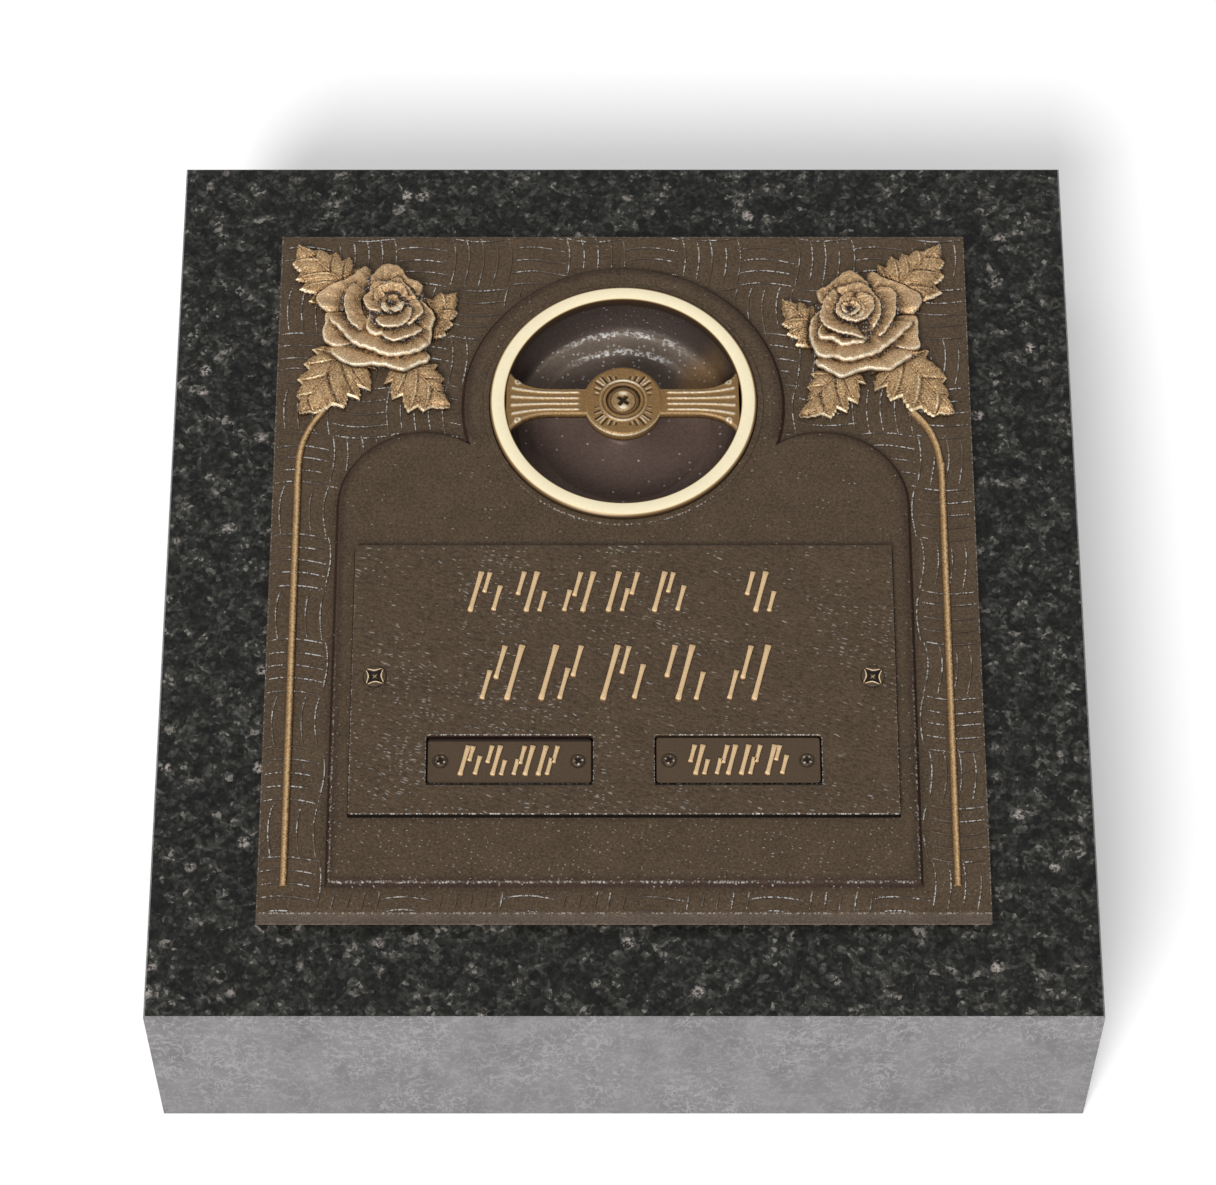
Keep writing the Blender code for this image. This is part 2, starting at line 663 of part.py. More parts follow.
def name_plate():
    """Name plate with openings for the date plates and two rows of raised strokes."""
    top_width = NAME_PLATE_WIDTH - 2 * NAME_PLATE_DRAFT
    top_depth = NAME_PLATE_DEPTH - 2 * NAME_PLATE_DRAFT
    shape = bmesh.new()
    prism(
        shape,
        rectangle((0, NAME_Y), NAME_PLATE_WIDTH, NAME_PLATE_DEPTH),
        NAME_UNDER,
        NAME_TOP,
        rectangle((0, NAME_Y), top_width, top_depth),
    )
    plate = object_from("name_plate", shape, "dark_bronze")

    strokes = bmesh.new()
    low = NAME_TOP - EMBED
    high = NAME_TOP + STROKE_RAISE
    first_y = NAME_BACK - FIRST_ROW_FROM_TOP
    first_width = FIRST_ROW_PITCH * 0.9
    for i in range(FIRST_ROW_MARKS):
        left = FIRST_ROW_START + i * FIRST_ROW_PITCH
        mark(strokes, left, first_y, first_width, FIRST_ROW_HEIGHT, low, high, i)
    mark(strokes, LONE_MARK_START, first_y, first_width, FIRST_ROW_HEIGHT, low, high, 1)
    second_y = NAME_BACK - SECOND_ROW_FROM_TOP
    for i in range(SECOND_ROW_MARKS):
        left = (i - SECOND_ROW_MARKS / 2) * SECOND_ROW_PITCH + SECOND_ROW_PITCH * 0.05
        mark(strokes, left, second_y, SECOND_ROW_PITCH * 0.9, SECOND_ROW_HEIGHT, low, high, i + 2)
    boolean(plate, object_from("name_strokes_relief", strokes), "UNION")

    cuts = bmesh.new()
    for x in (-DATE_X, DATE_X):
        width = DATE_PLATE_WIDTH + 2 * DATE_JOINT
        depth = DATE_PLATE_DEPTH + 2 * DATE_JOINT
        prism(cuts, rectangle((x, DATE_Y), width, depth), NAME_UNDER - CUT_PAST, NAME_TOP + CUT_PAST)
    for side in (-1, 1):
        outline = circle(name_screw_place(side), NAME_SHANK_RADIUS + SHANK_CLEARANCE, SCREW_SEGMENTS)
        prism(cuts, outline, NAME_UNDER - CUT_PAST, NAME_TOP + CUT_PAST)
    boolean(plate, object_from("name_plate_cutter", cuts), "DIFFERENCE")


def date_plate(side, x):
    """Small plate let into the name plate, with a row of raised strokes and two screw seats."""
    top = NAME_TOP - DATE_PLATE_SINK[side]
    shape = bmesh.new()
    prism(shape, rectangle((x, DATE_Y), DATE_PLATE_WIDTH, DATE_PLATE_DEPTH), NAME_UNDER, top)
    plate = object_from("date_plate_" + side, shape, "dark_bronze")

    strokes = bmesh.new()
    low = top - EMBED
    high = top + STROKE_RAISE
    for i in range(DATE_MARKS):
        left = x + (i - DATE_MARKS / 2) * DATE_MARK_PITCH
        pattern = i if side == "left" else i + 1
        mark(strokes, left, DATE_Y, DATE_MARK_PITCH, DATE_MARK_HEIGHT, low, high, pattern)
    boolean(plate, object_from("date_strokes_relief_" + side, strokes), "UNION", overlapping=True)

    holes = bmesh.new()
    for screw_side, place in date_screw_places():
        if screw_side == side:
            shank = circle(place, DATE_SHANK_RADIUS + SHANK_CLEARANCE, SCREW_SEGMENTS)
            prism(holes, shank, NAME_UNDER - CUT_PAST, top + CUT_PAST)
    boolean(plate, object_from("date_hole_cutter_" + side, holes), "DIFFERENCE")
    seats = bmesh.new()
    for screw_side, place in date_screw_places():
        if screw_side == side:
            seat = circle(place, DATE_SCREW_SEAT_RADIUS, SCREW_SEGMENTS)
            prism(seats, seat, date_screw_floor(side), top + CUT_PAST)
    boolean(plate, object_from("date_seat_cutter_" + side, seats), "DIFFERENCE")


def screw(name, centre, head_radius, head_height, shank_radius, head_under, shank_end, finish, lobes=0):
    """Screw with a low domed head and a plain shank; a rosette head has a number of lobes."""
    shape = bmesh.new()
    segments = SCREW_SEGMENTS
    profile = (
        (shank_radius, shank_end),
        (shank_radius, head_under),
        (head_radius, head_under),
        (head_radius, head_under + 0.55 * head_height),
        (0.72 * head_radius, head_under + head_height),
    )
    rings = []
    for radius, height in profile:
        ring = []
        for i in range(segments):
            angle = 2 * math.pi * i / segments
            wave = 1
            if lobes and radius > shank_radius:
                wave = 1 + SCREW_LOBE_DEPTH * math.cos(lobes * (angle - math.pi / 4))
            ring.append((
                centre[0] + radius * wave * math.cos(angle),
                centre[1] + radius * wave * math.sin(angle),
                height,
            ))
        rings.append(ring)
    loft(shape, rings)
    object_from(name, shape, finish, smooth=True)


def vase():
    """Turned vase, stored upside down: polished ring, dish with a coved ledge, and centre post."""
    ledge_z = DISH_FLOOR + LEDGE_DROP
    profile = [
        (0, DISH_UNDER),
        (DISH_FOOT + DISH_WALL * 0.4, DISH_UNDER),
        (DISH_OUTER, RING_UNDER - DISH_RIM_DEPTH),
        (DISH_OUTER, RING_UNDER),
        (RING_RADIUS, RING_UNDER),
        (RING_RADIUS, RING_TOP - RING_EDGE),
        (RING_RADIUS - RING_EDGE, RING_TOP),
        (RING_INNER, RING_TOP),
        (RING_INNER, RING_TOP - DISH_RIM_DEPTH),
        (DISH_FOOT, ledge_z),
        (DISH_FOOT - LEDGE_WIDTH, DISH_FLOOR),
        (POST_RADIUS, DISH_FLOOR),
        (POST_RADIUS, POST_TOP),
        (0, POST_TOP),
    ]
    shape = bmesh.new()
    turned(shape, profile, (0, VASE_Y), RING_SEGMENTS)
    body = object_from("vase", shape, "polished_bronze", smooth=True)
    hole = bmesh.new()
    outline = circle((0, VASE_Y), HANDLE_SHANK_RADIUS + SHANK_CLEARANCE, SCREW_SEGMENTS)
    prism(hole, outline, POST_TOP - HANDLE_SHANK_BITE - SEAT_GAP, POST_TOP + CUT_PAST)
    boolean(body, object_from("post_hole_cutter", hole), "DIFFERENCE")


def arm_outline(side):
    """Outline of one arm, which flares to the ring and ends on an arc along it."""
    start_x = HUB_RADIUS * ARM_ROOT
    end_angle = math.degrees(math.asin(ARM_END_WIDTH / 2 / ARM_REACH))
    tip_x = ARM_REACH * math.cos(math.radians(end_angle))
    upper = []
    for i in range(6):
        share = i / 6
        x = start_x + (tip_x - start_x) * share
        flare = max(0.0, (share - ARM_FLARE_FROM) / (1 - ARM_FLARE_FROM))
        upper.append((x, ARM_WIDTH / 2 + (ARM_END_WIDTH - ARM_WIDTH) / 2 * flare ** ARM_FLARE_POWER))
    end = arc((0, 0), ARM_REACH, end_angle, -end_angle, 6)
    lower = [(x, -y) for x, y in reversed(upper)]
    points = upper + end + lower
    if side > 0:
        points.reverse()
    return [(side * x, VASE_Y + y) for x, y in points]


def arm_ribs(shape, side):
    """Thin ribs that fan out along one arm."""
    start = HUB_RADIUS + ARM_RIB_FROM_HUB
    end = ARM_REACH - ARM_RIB_FROM_RING
    for i in range(ARM_RIBS):
        spread = (i - (ARM_RIBS - 1) / 2) / ARM_RIBS
        y_start = VASE_Y + spread * ARM_WIDTH
        y_end = VASE_Y + spread * ARM_END_WIDTH * 0.72
        corners = [
            (side * start, y_start - ARM_RIB_WIDTH / 2),
            (side * end, y_end - ARM_RIB_WIDTH / 2),
            (side * end, y_end + ARM_RIB_WIDTH / 2),
            (side * start, y_start + ARM_RIB_WIDTH / 2),
        ]
        prism(shape, corners, ARM_TOP - ARM_RIB_RAISE, ARM_TOP + ARM_RIB_RAISE)


def vase_handle():
    """Cross bar with a round hub, ribbed arms and a recess for its screw."""
    centre = (0, VASE_Y)
    shape = bmesh.new()
    turned(
        shape,
        [
            (0, HUB_UNDER),
            (HUB_RADIUS, HUB_UNDER),
            (HUB_RADIUS, HUB_TOP - HUB_EDGE - HUB_RING_RAISE),
            (HUB_RADIUS - HUB_EDGE, HUB_TOP - HUB_RING_RAISE),
            (HUB_RING_RADIUS + HUB_RING_SLOPE, HUB_TOP - HUB_RING_RAISE),
            (HUB_RING_RADIUS, HUB_TOP),
            (HUB_RECESS_RADIUS, HUB_TOP),
            (HUB_RECESS_RADIUS - HUB_RECESS_DRAFT, HUB_TOP - HUB_RECESS_DEPTH),
            (0, HUB_TOP - HUB_RECESS_DEPTH),
        ],
        centre,
        HUB_SEGMENTS,
    )
    handle = object_from("vase_handle", shape, "gold_bronze", smooth=True)
    for side, name in ((-1, "left"), (1, "right")):
        arm = bmesh.new()
        prism(arm, arm_outline(side), ARM_UNDER, ARM_TOP)
        boolean(handle, object_from(name + "_arm_relief", arm), "UNION")
        ribs = bmesh.new()
        arm_ribs(ribs, side)
        boolean(handle, object_from(name + "_rib_relief", ribs), "UNION")
    recess = bmesh.new()
    outline = circle(centre, HUB_RECESS_RADIUS - HUB_RECESS_DRAFT, HUB_SEGMENTS)
    prism(recess, outline, HUB_TOP - HUB_RECESS_DEPTH, HUB_TOP + CUT_PAST)
    boolean(handle, object_from("hub_recess_cutter", recess), "DIFFERENCE")
    hole = bmesh.new()
    outline = circle(centre, HANDLE_SHANK_RADIUS + SHANK_CLEARANCE, SCREW_SEGMENTS)
    prism(hole, outline, HUB_UNDER - CUT_PAST, HUB_TOP)
    boolean(handle, object_from("hub_hole_cutter", hole), "DIFFERENCE")


def fasteners():
    """All the screws."""
    for side, label in ((-1, "left"), (1, "right")):
        screw(
            "name_plate_screw_" + label,
            name_screw_place(side),
            NAME_SCREW_RADIUS,
            NAME_SCREW_HEIGHT,
            NAME_SHANK_RADIUS,
            NAME_TOP + SEAT_GAP,
            NAME_SEAT_FLOOR - SHANK_BITE,
            "gold_bronze",
            NAME_SCREW_LOBES,
        )
    for number, (side, place) in enumerate(date_screw_places(), 1):
        screw(
            "date_plate_screw_%d" % number,
            place,
            DATE_SCREW_RADIUS,
            DATE_SCREW_HEIGHT,
            DATE_SHANK_RADIUS,
            date_screw_floor(side) + SEAT_GAP,
            NAME_SEAT_FLOOR - SHANK_BITE,
            "screw_bronze",
        )
    screw(
        "vase_handle_screw",
        (0, VASE_Y),
        HANDLE_SCREW_RADIUS,
        HUB_RECESS_DEPTH - SEAT_GAP,
        HANDLE_SHANK_RADIUS,
        HUB_TOP - HUB_RECESS_DEPTH + SEAT_GAP,
        POST_TOP - HANDLE_SHANK_BITE,
        "gold_bronze",
    )


def main():
    """Build the marker from the ground up."""
    clear_scene()
    granite_base()
    bronze_plaque()
    name_plate()
    for side, x in (("left", -DATE_X), ("right", DATE_X)):
        date_plate(side, x)
    vase()
    vase_handle()
    fasteners()


main()
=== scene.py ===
"""Looks of the flat grave marker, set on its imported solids.

All sizes are in metres, in the frame of the solids: the origin is the middle of the base's
underside, +Z is up, and the reader stands at -Y.
"""

import math

import bmesh
import bpy
import numpy as np
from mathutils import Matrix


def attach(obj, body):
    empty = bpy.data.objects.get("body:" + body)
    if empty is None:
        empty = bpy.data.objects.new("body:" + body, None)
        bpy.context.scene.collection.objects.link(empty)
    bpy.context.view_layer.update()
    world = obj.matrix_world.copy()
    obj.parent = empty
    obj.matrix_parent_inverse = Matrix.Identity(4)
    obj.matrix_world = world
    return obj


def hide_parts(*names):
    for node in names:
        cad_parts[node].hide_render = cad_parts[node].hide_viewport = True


MM = 0.001

# Heights
PLAQUE_UNDER = 0.1203
GROUND = 0.1310
PANEL_TOP = 0.1340
COLLAR_TOP = 0.1347
RING_TOP = 0.1375
RING_UNDER = 0.1323
RING_SEAT = 0.1320
NAME_SEAT_FLOOR = 0.1320
NAME_UNDER = 0.1323
NAME_TOP = 0.1373
EMBED = 0.0015
CUT_PAST = 0.0020

# Plaque and panel
PLAQUE_WIDTH = 0.354
PLAQUE_DEPTH = 0.386
PLAQUE_DRAFT = 0.0010
PANEL_HALF = 0.1437
PANEL_FRONT = -0.1785
PANEL_SLOPE = 0.0020
SHOULDER_RADIUS = 0.0435
SHOULDER_Y = 0.0310
SHOULDER_X = PANEL_HALF - SHOULDER_RADIUS
ARCH_RADIUS = 0.082
COLLAR_RADIUS = 0.0712
OPENING_RADIUS = 0.0645
SEAT_RADIUS = 0.0680
ARCH_SIDE = 0.06
PLAQUE_CORNER = 0.0012
PLAQUE_EDGE = 0.0006
ROUND_SEGMENTS = 128
PLATE_SOFT_ANGLE = 32

# Vase and handle
VASE_Y = 0.0900
RING_RADIUS = 0.0675
RING_INNER = 0.0597
RING_EDGE = 0.0009
DISH_OUTER = 0.0637
DISH_FLOOR = 0.1105
DISH_UNDER = 0.1065
LEDGE_RADIUS = 0.0540
LEDGE_Z = 0.1125
FLOOR_RADIUS = 0.0440
POST_RADIUS = 0.0090
POST_TOP = 0.1305
HUB_RADIUS = 0.0195
HUB_SPREAD = 1.03
HUB_TOP = 0.1373
HUB_UNDER = 0.1308
ARM_TOP = 0.1363
ARM_UNDER = 0.1318
ARM_ROOT = 0.0165
ARM_REACH = 0.0596
ARM_HALF = 0.0075
ARM_END_HALF = 0.0170
HANDLE_SCREW_RADIUS = 0.0066
HANDLE_SCREW_SINK = 0.0013
SCREW_FOOT = -0.0009

# Name plate and date plates
NAME_WIDTH = 0.267
NAME_DEPTH = 0.1488
NAME_Y = -0.0681
NAME_BACK = 0.0063
NAME_GAP = 0.0002
SEAT_CORNER = 0.0010
NAME_CORNER = 0.0012
NAME_EDGE = 0.0005
NAME_DRAFT = 0.0002
NAME_SCREW_X = 0.1218
NAME_SCREW_RADIUS = 0.0059
NAME_SCREW_LIFT = 0.0002
DATE_WIDTH = 0.080
DATE_DEPTH = 0.025
DATE_X = 0.0555
DATE_Y = -0.1128
DATE_SINK = {"left": 0.0018, "right": 0.0009}
DATE_SCREW_X = 0.0334
DATE_SCREW_RADIUS = 0.0034
DATE_SCREW_SINK = 0.0004
DATE_SEAT_RADIUS = 0.0040
DATE_JOINT = 0.0006
DATE_TRIM = 0.0003
DATE_CORNER = 0.0016
DATE_EDGE = 0.0003
DATE_SIDES = (("left", -DATE_X), ("right", DATE_X))

# Roses
ROSE_REACH = 0.040
ROSE_LIFT = 0.0100
LEAF_LIFT = 0.0042
LEFT_ROSE = (-0.1186, 0.1475)
RIGHT_ROSE = (0.1160, 0.1440)
STEM_RADIUS = 0.0020
STEM_LIFT = 0.0003
STEM_STEP = 0.0012
STEM_SIDES = 14
STEM_THINNING = 0.1
LEFT_STEM = [(-0.1498, 0.0895), (-0.1575, 0.0780), (-0.1622, 0.0655), (-0.1635, 0.0500),
             (-0.1635, 0.0235), (-0.1635, -0.1775)]
RIGHT_STEM = [(0.1456, 0.0872), (0.1530, 0.0780), (0.1578, 0.0665), (0.1598, 0.0520),
              (0.1600, 0.0360), (0.1600, -0.1775)]

# A petal is: first angle, last angle, lift, root, then the reach at evenly spaced angles.
# Reaches are shares of ROSE_REACH, lifts of ROSE_LIFT.
LEFT_PETALS = [
    (-140, -56, 0.50, 0.55, (1.05, 1.03, 1.00, 0.91, 0.90, 0.99, 0.95, 0.97)),
    (186, 228, 0.50, 0.55, (0.85, 0.88, 0.98, 0.96, 0.80)),
    (117, 186, 0.60, 0.50, (0.69, 0.68, 0.68, 0.74, 0.87, 0.97, 0.86)),
    (-66, 15, 0.58, 0.45, (0.76, 0.77, 0.63, 0.60, 0.45, 0.38)),
    (17, 129, 0.70, 0.50, (0.36, 0.47, 0.46, 0.45, 0.57, 0.60, 0.53, 0.48)),
    (-170, -46, 0.75, 0.55, (0.84, 0.76, 0.75, 0.74, 0.79, 0.79, 0.79)),
    (-146, -100, 0.74, 0.60, (0.34, 0.48, 0.52, 0.48)),
    (-103, -41, 0.80, 0.60, (0.50, 0.57, 0.58, 0.57, 0.57)),
    (145, 226, 0.85, 0.64, (0.56, 0.60, 0.60, 0.60, 0.56)),
    (-57, 12, 0.80, 0.55, (0.41, 0.41, 0.44, 0.38, 0.34)),
    (6, 150, 0.86, 0.60, (0.34, 0.31, 0.31, 0.38, 0.30, 0.37, 0.34)),
    (-132, -12, 0.86, 0.50, (0.33, 0.37, 0.38, 0.38, 0.32, 0.27)),
    (119, 225, 0.90, 0.50, (0.25, 0.29, 0.36, 0.31, 0.20)),
]
RIGHT_PETALS = [
    (-122, -37, 0.50, 0.55, (0.91, 0.93, 0.99, 0.90, 0.90, 0.99, 1.00, 1.05)),
    (-42, -3, 0.50, 0.55, (0.82, 1.03, 0.94, 0.89, 0.86)),
    (-1, 66, 0.60, 0.50, (0.86, 0.95, 0.81, 0.70, 0.66, 0.68)),
    (178, 254, 0.60, 0.45, (0.36, 0.50, 0.59, 0.70, 0.79, 0.73)),
    (52, 168, 0.70, 0.50, (0.47, 0.51, 0.58, 0.49, 0.46, 0.49, 0.36)),
    (-112, -10, 0.75, 0.55, (0.74, 0.76, 0.74, 0.73, 0.73, 0.75, 0.85)),
    (-152, -66, 0.70, 0.60, (0.43, 0.58, 0.51, 0.54, 0.52, 0.53)),
    (-50, 44, 0.80, 0.62, (0.56, 0.56, 0.57, 0.60, 0.63, 0.50)),
    (118, 298, 0.84, 0.55, (0.36, 0.35, 0.36, 0.43, 0.40, 0.40, 0.50)),
    (-46, 124, 0.86, 0.62, (0.42, 0.40, 0.39, 0.38, 0.40, 0.34, 0.36)),
    (73, 220, 0.90, 0.40, (0.25, 0.20, 0.17, 0.18, 0.20)),
    (215, 433, 0.92, 0.45, (0.18, 0.20, 0.24, 0.29, 0.32, 0.25)),
]

# A leaf is: base, tip, tooth tips on its left, tooth tips on its right; in millimetres
LEFT_LEAVES = [
    ((-134.0, 152.0), (-167.3, 183.9),
     [(-170.3, 173.7), (-168.3, 164.1), (-166.2, 158.3), (-161.1, 150.6)],
     [(-156.4, 182.3), (-147.8, 180.7), (-140.9, 178.4), (-135.1, 172.2)]),
    ((-99.0, 135.7), (-85.0, 155.2),
     [(-93.5, 156.3), (-101.3, 153.2)],
     [(-84.5, 144.0), (-86.7, 137.1), (-90.2, 130.6), (-96.6, 127.2)]),
    ((-138.0, 126.0), (-163.9, 84.1),
     [(-156.1, 84.1), (-141.4, 87.1), (-133.4, 92.0), (-128.1, 97.3), (-125.2, 110.5)],
     [(-158.6, 121.9), (-162.8, 113.5), (-165.5, 104.0), (-165.5, 94.2)]),
    ((-113.0, 117.0), (-87.5, 87.9),
     [(-94.1, 112.7), (-90.7, 104.8), (-90.9, 97.3)],
     [(-121.4, 101.4), (-117.0, 92.4), (-108.7, 84.5), (-101.0, 85.2)]),
]
RIGHT_LEAVES = [
    ((133.0, 151.0), (163.3, 184.3),
     [(131.1, 173.4), (138.1, 178.8), (144.1, 180.0), (151.4, 181.9)],
     [(165.6, 174.5), (165.3, 166.4), (164.0, 156.3), (152.2, 145.9)]),
    ((101.0, 132.0), (81.4, 150.6),
     [(80.9, 137.1), (83.4, 131.0), (87.8, 124.5), (95.5, 120.7)],
     [(90.9, 150.6), (97.4, 149.0), (101.3, 145.6)]),
    ((115.0, 115.0), (88.9, 82.2),
     [(105.0, 81.1), (113.1, 84.5), (118.8, 89.7), (123.3, 101.4)],
     [(95.3, 107.4), (93.2, 99.9), (93.6, 92.0)]),
    ((136.0, 124.0), (167.3, 84.1),
     [(155.9, 121.1), (164.5, 105.2), (165.1, 95.4)],
     [(156.9, 82.2), (145.7, 84.9), (135.3, 91.2), (127.4, 97.3), (125.7, 107.4)]),
]

# Between two teeth of a leaf, the edge goes back by shares of the way on and of the tooth's reach
NOTCH_FORWARD = 0.14
NOTCH_DEPTH = 0.27
NICK_DEPTH = 0.0008

# Strokes in place of the names and dates; see the solids for the same values
STROKE_RAISE = 0.0010
STROKE_LEAN = 14
MARKS = [
    ((-0.30, 0.00, 1.00), (0.04, 0.22, 0.50), (0.34, -0.16, 0.62)),
    ((-0.32, 0.20, 0.58), (0.00, 0.00, 1.00), (0.32, -0.24, 0.50)),
    ((-0.32, -0.22, 0.52), (0.00, 0.18, 0.60), (0.32, 0.00, 1.00)),
    ((-0.30, 0.00, 1.00), (0.04, -0.20, 0.56), (0.34, 0.20, 0.56)),
]
MARK_SHARE = 0.9

# Right side of a stroke in shares of its width and length. Then its steps upwards: share, height
# in millimetres, tone.
STROKE_SIDE = [
    (0.40, -0.50), (0.46, -0.46), (0.38, -0.38), (0.36, 0.0), (0.42, 0.38), (0.50, 0.47), (0.44, 0.50),
]
# Tone 0 at the wide foot paints a dark shadow outline round each stroke
STROKE_STEPS = [
    (1.30, -1.0, 0.0), (1.24, 0.05, 0.0), (1.02, 0.30, 0.10), (0.98, 0.75, 0.7), (0.90, 1.0, 1.0),
]
STROKE_WIDTH = 0.0023

# Rows of strokes: pitch of the marks, where they begin, middle and height of a row
FIRST_PITCH = 0.0227
FIRST_LEFTS = [-0.0783 + k * FIRST_PITCH for k in range(5)] + [0.0576]
FIRST_ROW_Y = NAME_BACK - 0.0268
FIRST_HEIGHT = 0.0230
SECOND_PITCH = 0.0302
SECOND_ROW_Y = NAME_BACK - 0.0718
SECOND_HEIGHT = 0.0310
STROKE_WIDENING = 0.0009 / SECOND_HEIGHT
DATE_PITCH = 0.0126
DATE_HEIGHT = 0.0165

# Basket weave
WEAVE_CELL = 0.0295
WEAVE_LINES = 5
WEAVE_SPACING = 0.0072
WEAVE_BOW = 0.0021
WEAVE_TILT = 0.0009
WEAVE_FROM_TOP = 0.0020
WEAVE_START = 0.0004
WEAVE_WANDER = 0.00022
WEAVE_EDGE = 0.0008
RIDGE_RADIUS = 0.00072
RIDGE_SINK = 0.00024
RIDGE_STEP = 0.0016
RIDGE_SIDES = 6
RIDGE_THINNING = 0.5
RIDGE_MARGIN = 0.0006

# Across a petal: place from root to lip, height, tone, darker towards the root with patina and painted shade.
# Then the lip: out, down in rolls, tone, bright on the lip as rubbed edge and painted highlight, dark down its
# outer wall as painted shade.
PETAL_RISE = [
    (0.00, 0.52, 0.00), (0.08, 0.56, 0.06), (0.18, 0.62, 0.18), (0.30, 0.69, 0.32), (0.45, 0.77, 0.42),
    (0.60, 0.85, 0.50), (0.72, 0.91, 0.55), (0.84, 0.95, 0.58), (0.94, 0.99, 0.62),
]
PETAL_LIP = [
    (-1.00, 0.00, 0.72), (-0.55, -0.05, 0.90), (-0.20, 0.22, 1.00), (0.00, 0.75, 0.95), (0.04, 1.30, 0.45),
    (-0.10, 2.10, 0.12), (-0.35, 3.20, 0.02),
]
BUD_ROLL = 0.00060
INNER_ROLL = 0.00090
OUTER_ROLL = 0.00145
# Width and reach of the dark recess beside a petal above: patina and painted shade
RECESS_WIDTH = 0.0009
RECESS_REACH = 0.0044
INNER_LIFT = 0.80
PETAL_STEP = 0.0008
PETAL_FADE = 5

# Folds of the bud, given as petals are
LEFT_BUD = [
    (24, 172, 0.91, 0.66, (0.25, 0.29, 0.285, 0.27, 0.22)),
    (20, 130, 0.86, 0.20, (0.11, 0.11, 0.10, 0.08)),
    (188, 263, 0.89, 0.10, (0.125, 0.145, 0.165, 0.165, 0.12)),
    (268, 362, 0.90, 0.10, (0.12, 0.165, 0.18, 0.185, 0.16)),
]
RIGHT_BUD = [
    (150, 290, 0.88, 0.30, (0.15, 0.175, 0.19, 0.16)),
    (-82, 30, 0.88, 0.30, (0.17, 0.20, 0.195, 0.16)),
    (10, 172, 0.87, 0.30, (0.17, 0.15, 0.155, 0.165)),
    (-100, 95, 0.91, 0.30, (0.12, 0.125, 0.13, 0.11, 0.09)),
    (110, 250, 0.90, 0.30, (0.08, 0.11, 0.115, 0.09)),
]

# Radial grooves of the hub on each side of a diagonal: degrees from it, outer end in millimetres, depth
HUB_GROOVES = [
    (-7, 17.4, 1.0), (7, 17.4, 1.0), (-19, 15.8, 0.8), (19, 15.8, 0.8), (-30, 14.6, 0.7), (30, 14.6, 0.7),
]

# Colours, as the numbers 0 to 255 of a screen colour
BRONZE = (88, 73, 57)
# Painted shade on the sloping walls of the panel
PAINTED_WALL_SHADE = (66, 50, 42)
BRONZE_EDGE = (104, 89, 73)
BRUSHED_SIDE = (106, 93, 82)
# Colours of painted highlights: the glints painted on the plaque and on the golden relief
PAINTED_GLINT = (172, 168, 162)
WARM_PAINTED_GLINT = (226, 214, 196)

# Looks: soft limit of a band of heights, how far a band stays below a top, a height above everything,
# and the slant of the grain
BAND_SOFTNESS = 0.00005
BAND_IN = 0.00002
HIGH_ABOVE = 0.2
GRAIN_SLANT = math.radians(-18)
WHITE = (1.0, 1.0, 1.0, 1.0)
SUN_DIRECTION = (0.35, 1.0, -0.95)
SUN_SPREAD = 22
SUN_STRENGTH = 2.3
SKY_STRENGTH = 0.50
FLOOR_GLOW = 0.16
FLOOR_HALF = 12
CAMERA_PLACE = (-0.0077, -1.1206, 2.1627)
CAMERA_DOWN = 61.5
CAMERA_LENS = 138.06


def srgb(red, green, blue):
    """Linear colour with alpha from the numbers 0 to 255 of a screen colour."""
    channels = []
    for share in (red / 255, green / 255, blue / 255):
        channels.append(share / 12.92 if share <= 0.04045 else ((share + 0.055) / 1.055) ** 2.4)
    return (*channels, 1.0)


def smoothstep(low, high, value):
    """Soft step from 0 at low to 1 at high."""
    t = min(max((value - low) / (high - low), 0.0), 1.0)
    return t * t * (3 - 2 * t)


def hill(value, width):
    """1 at 0, falling softly to both sides over a width."""
    return math.exp(-(value / width) ** 2)


def limited(tone):
    """A tone kept from 0 to 1."""
    return min(max(tone, 0.0), 1.0)


# Meshes

def add_object(name, mesh):
    """Object of a mesh in the scene."""
    obj = bpy.data.objects.new(name, mesh)
    bpy.context.scene.collection.objects.link(obj)
    return obj


def soften(mesh, angle):
    """Smooth shading, but hard edges where faces meet at more than an angle."""
    mesh.shade_smooth()
    mesh.set_sharp_from_angle(angle=math.radians(angle))


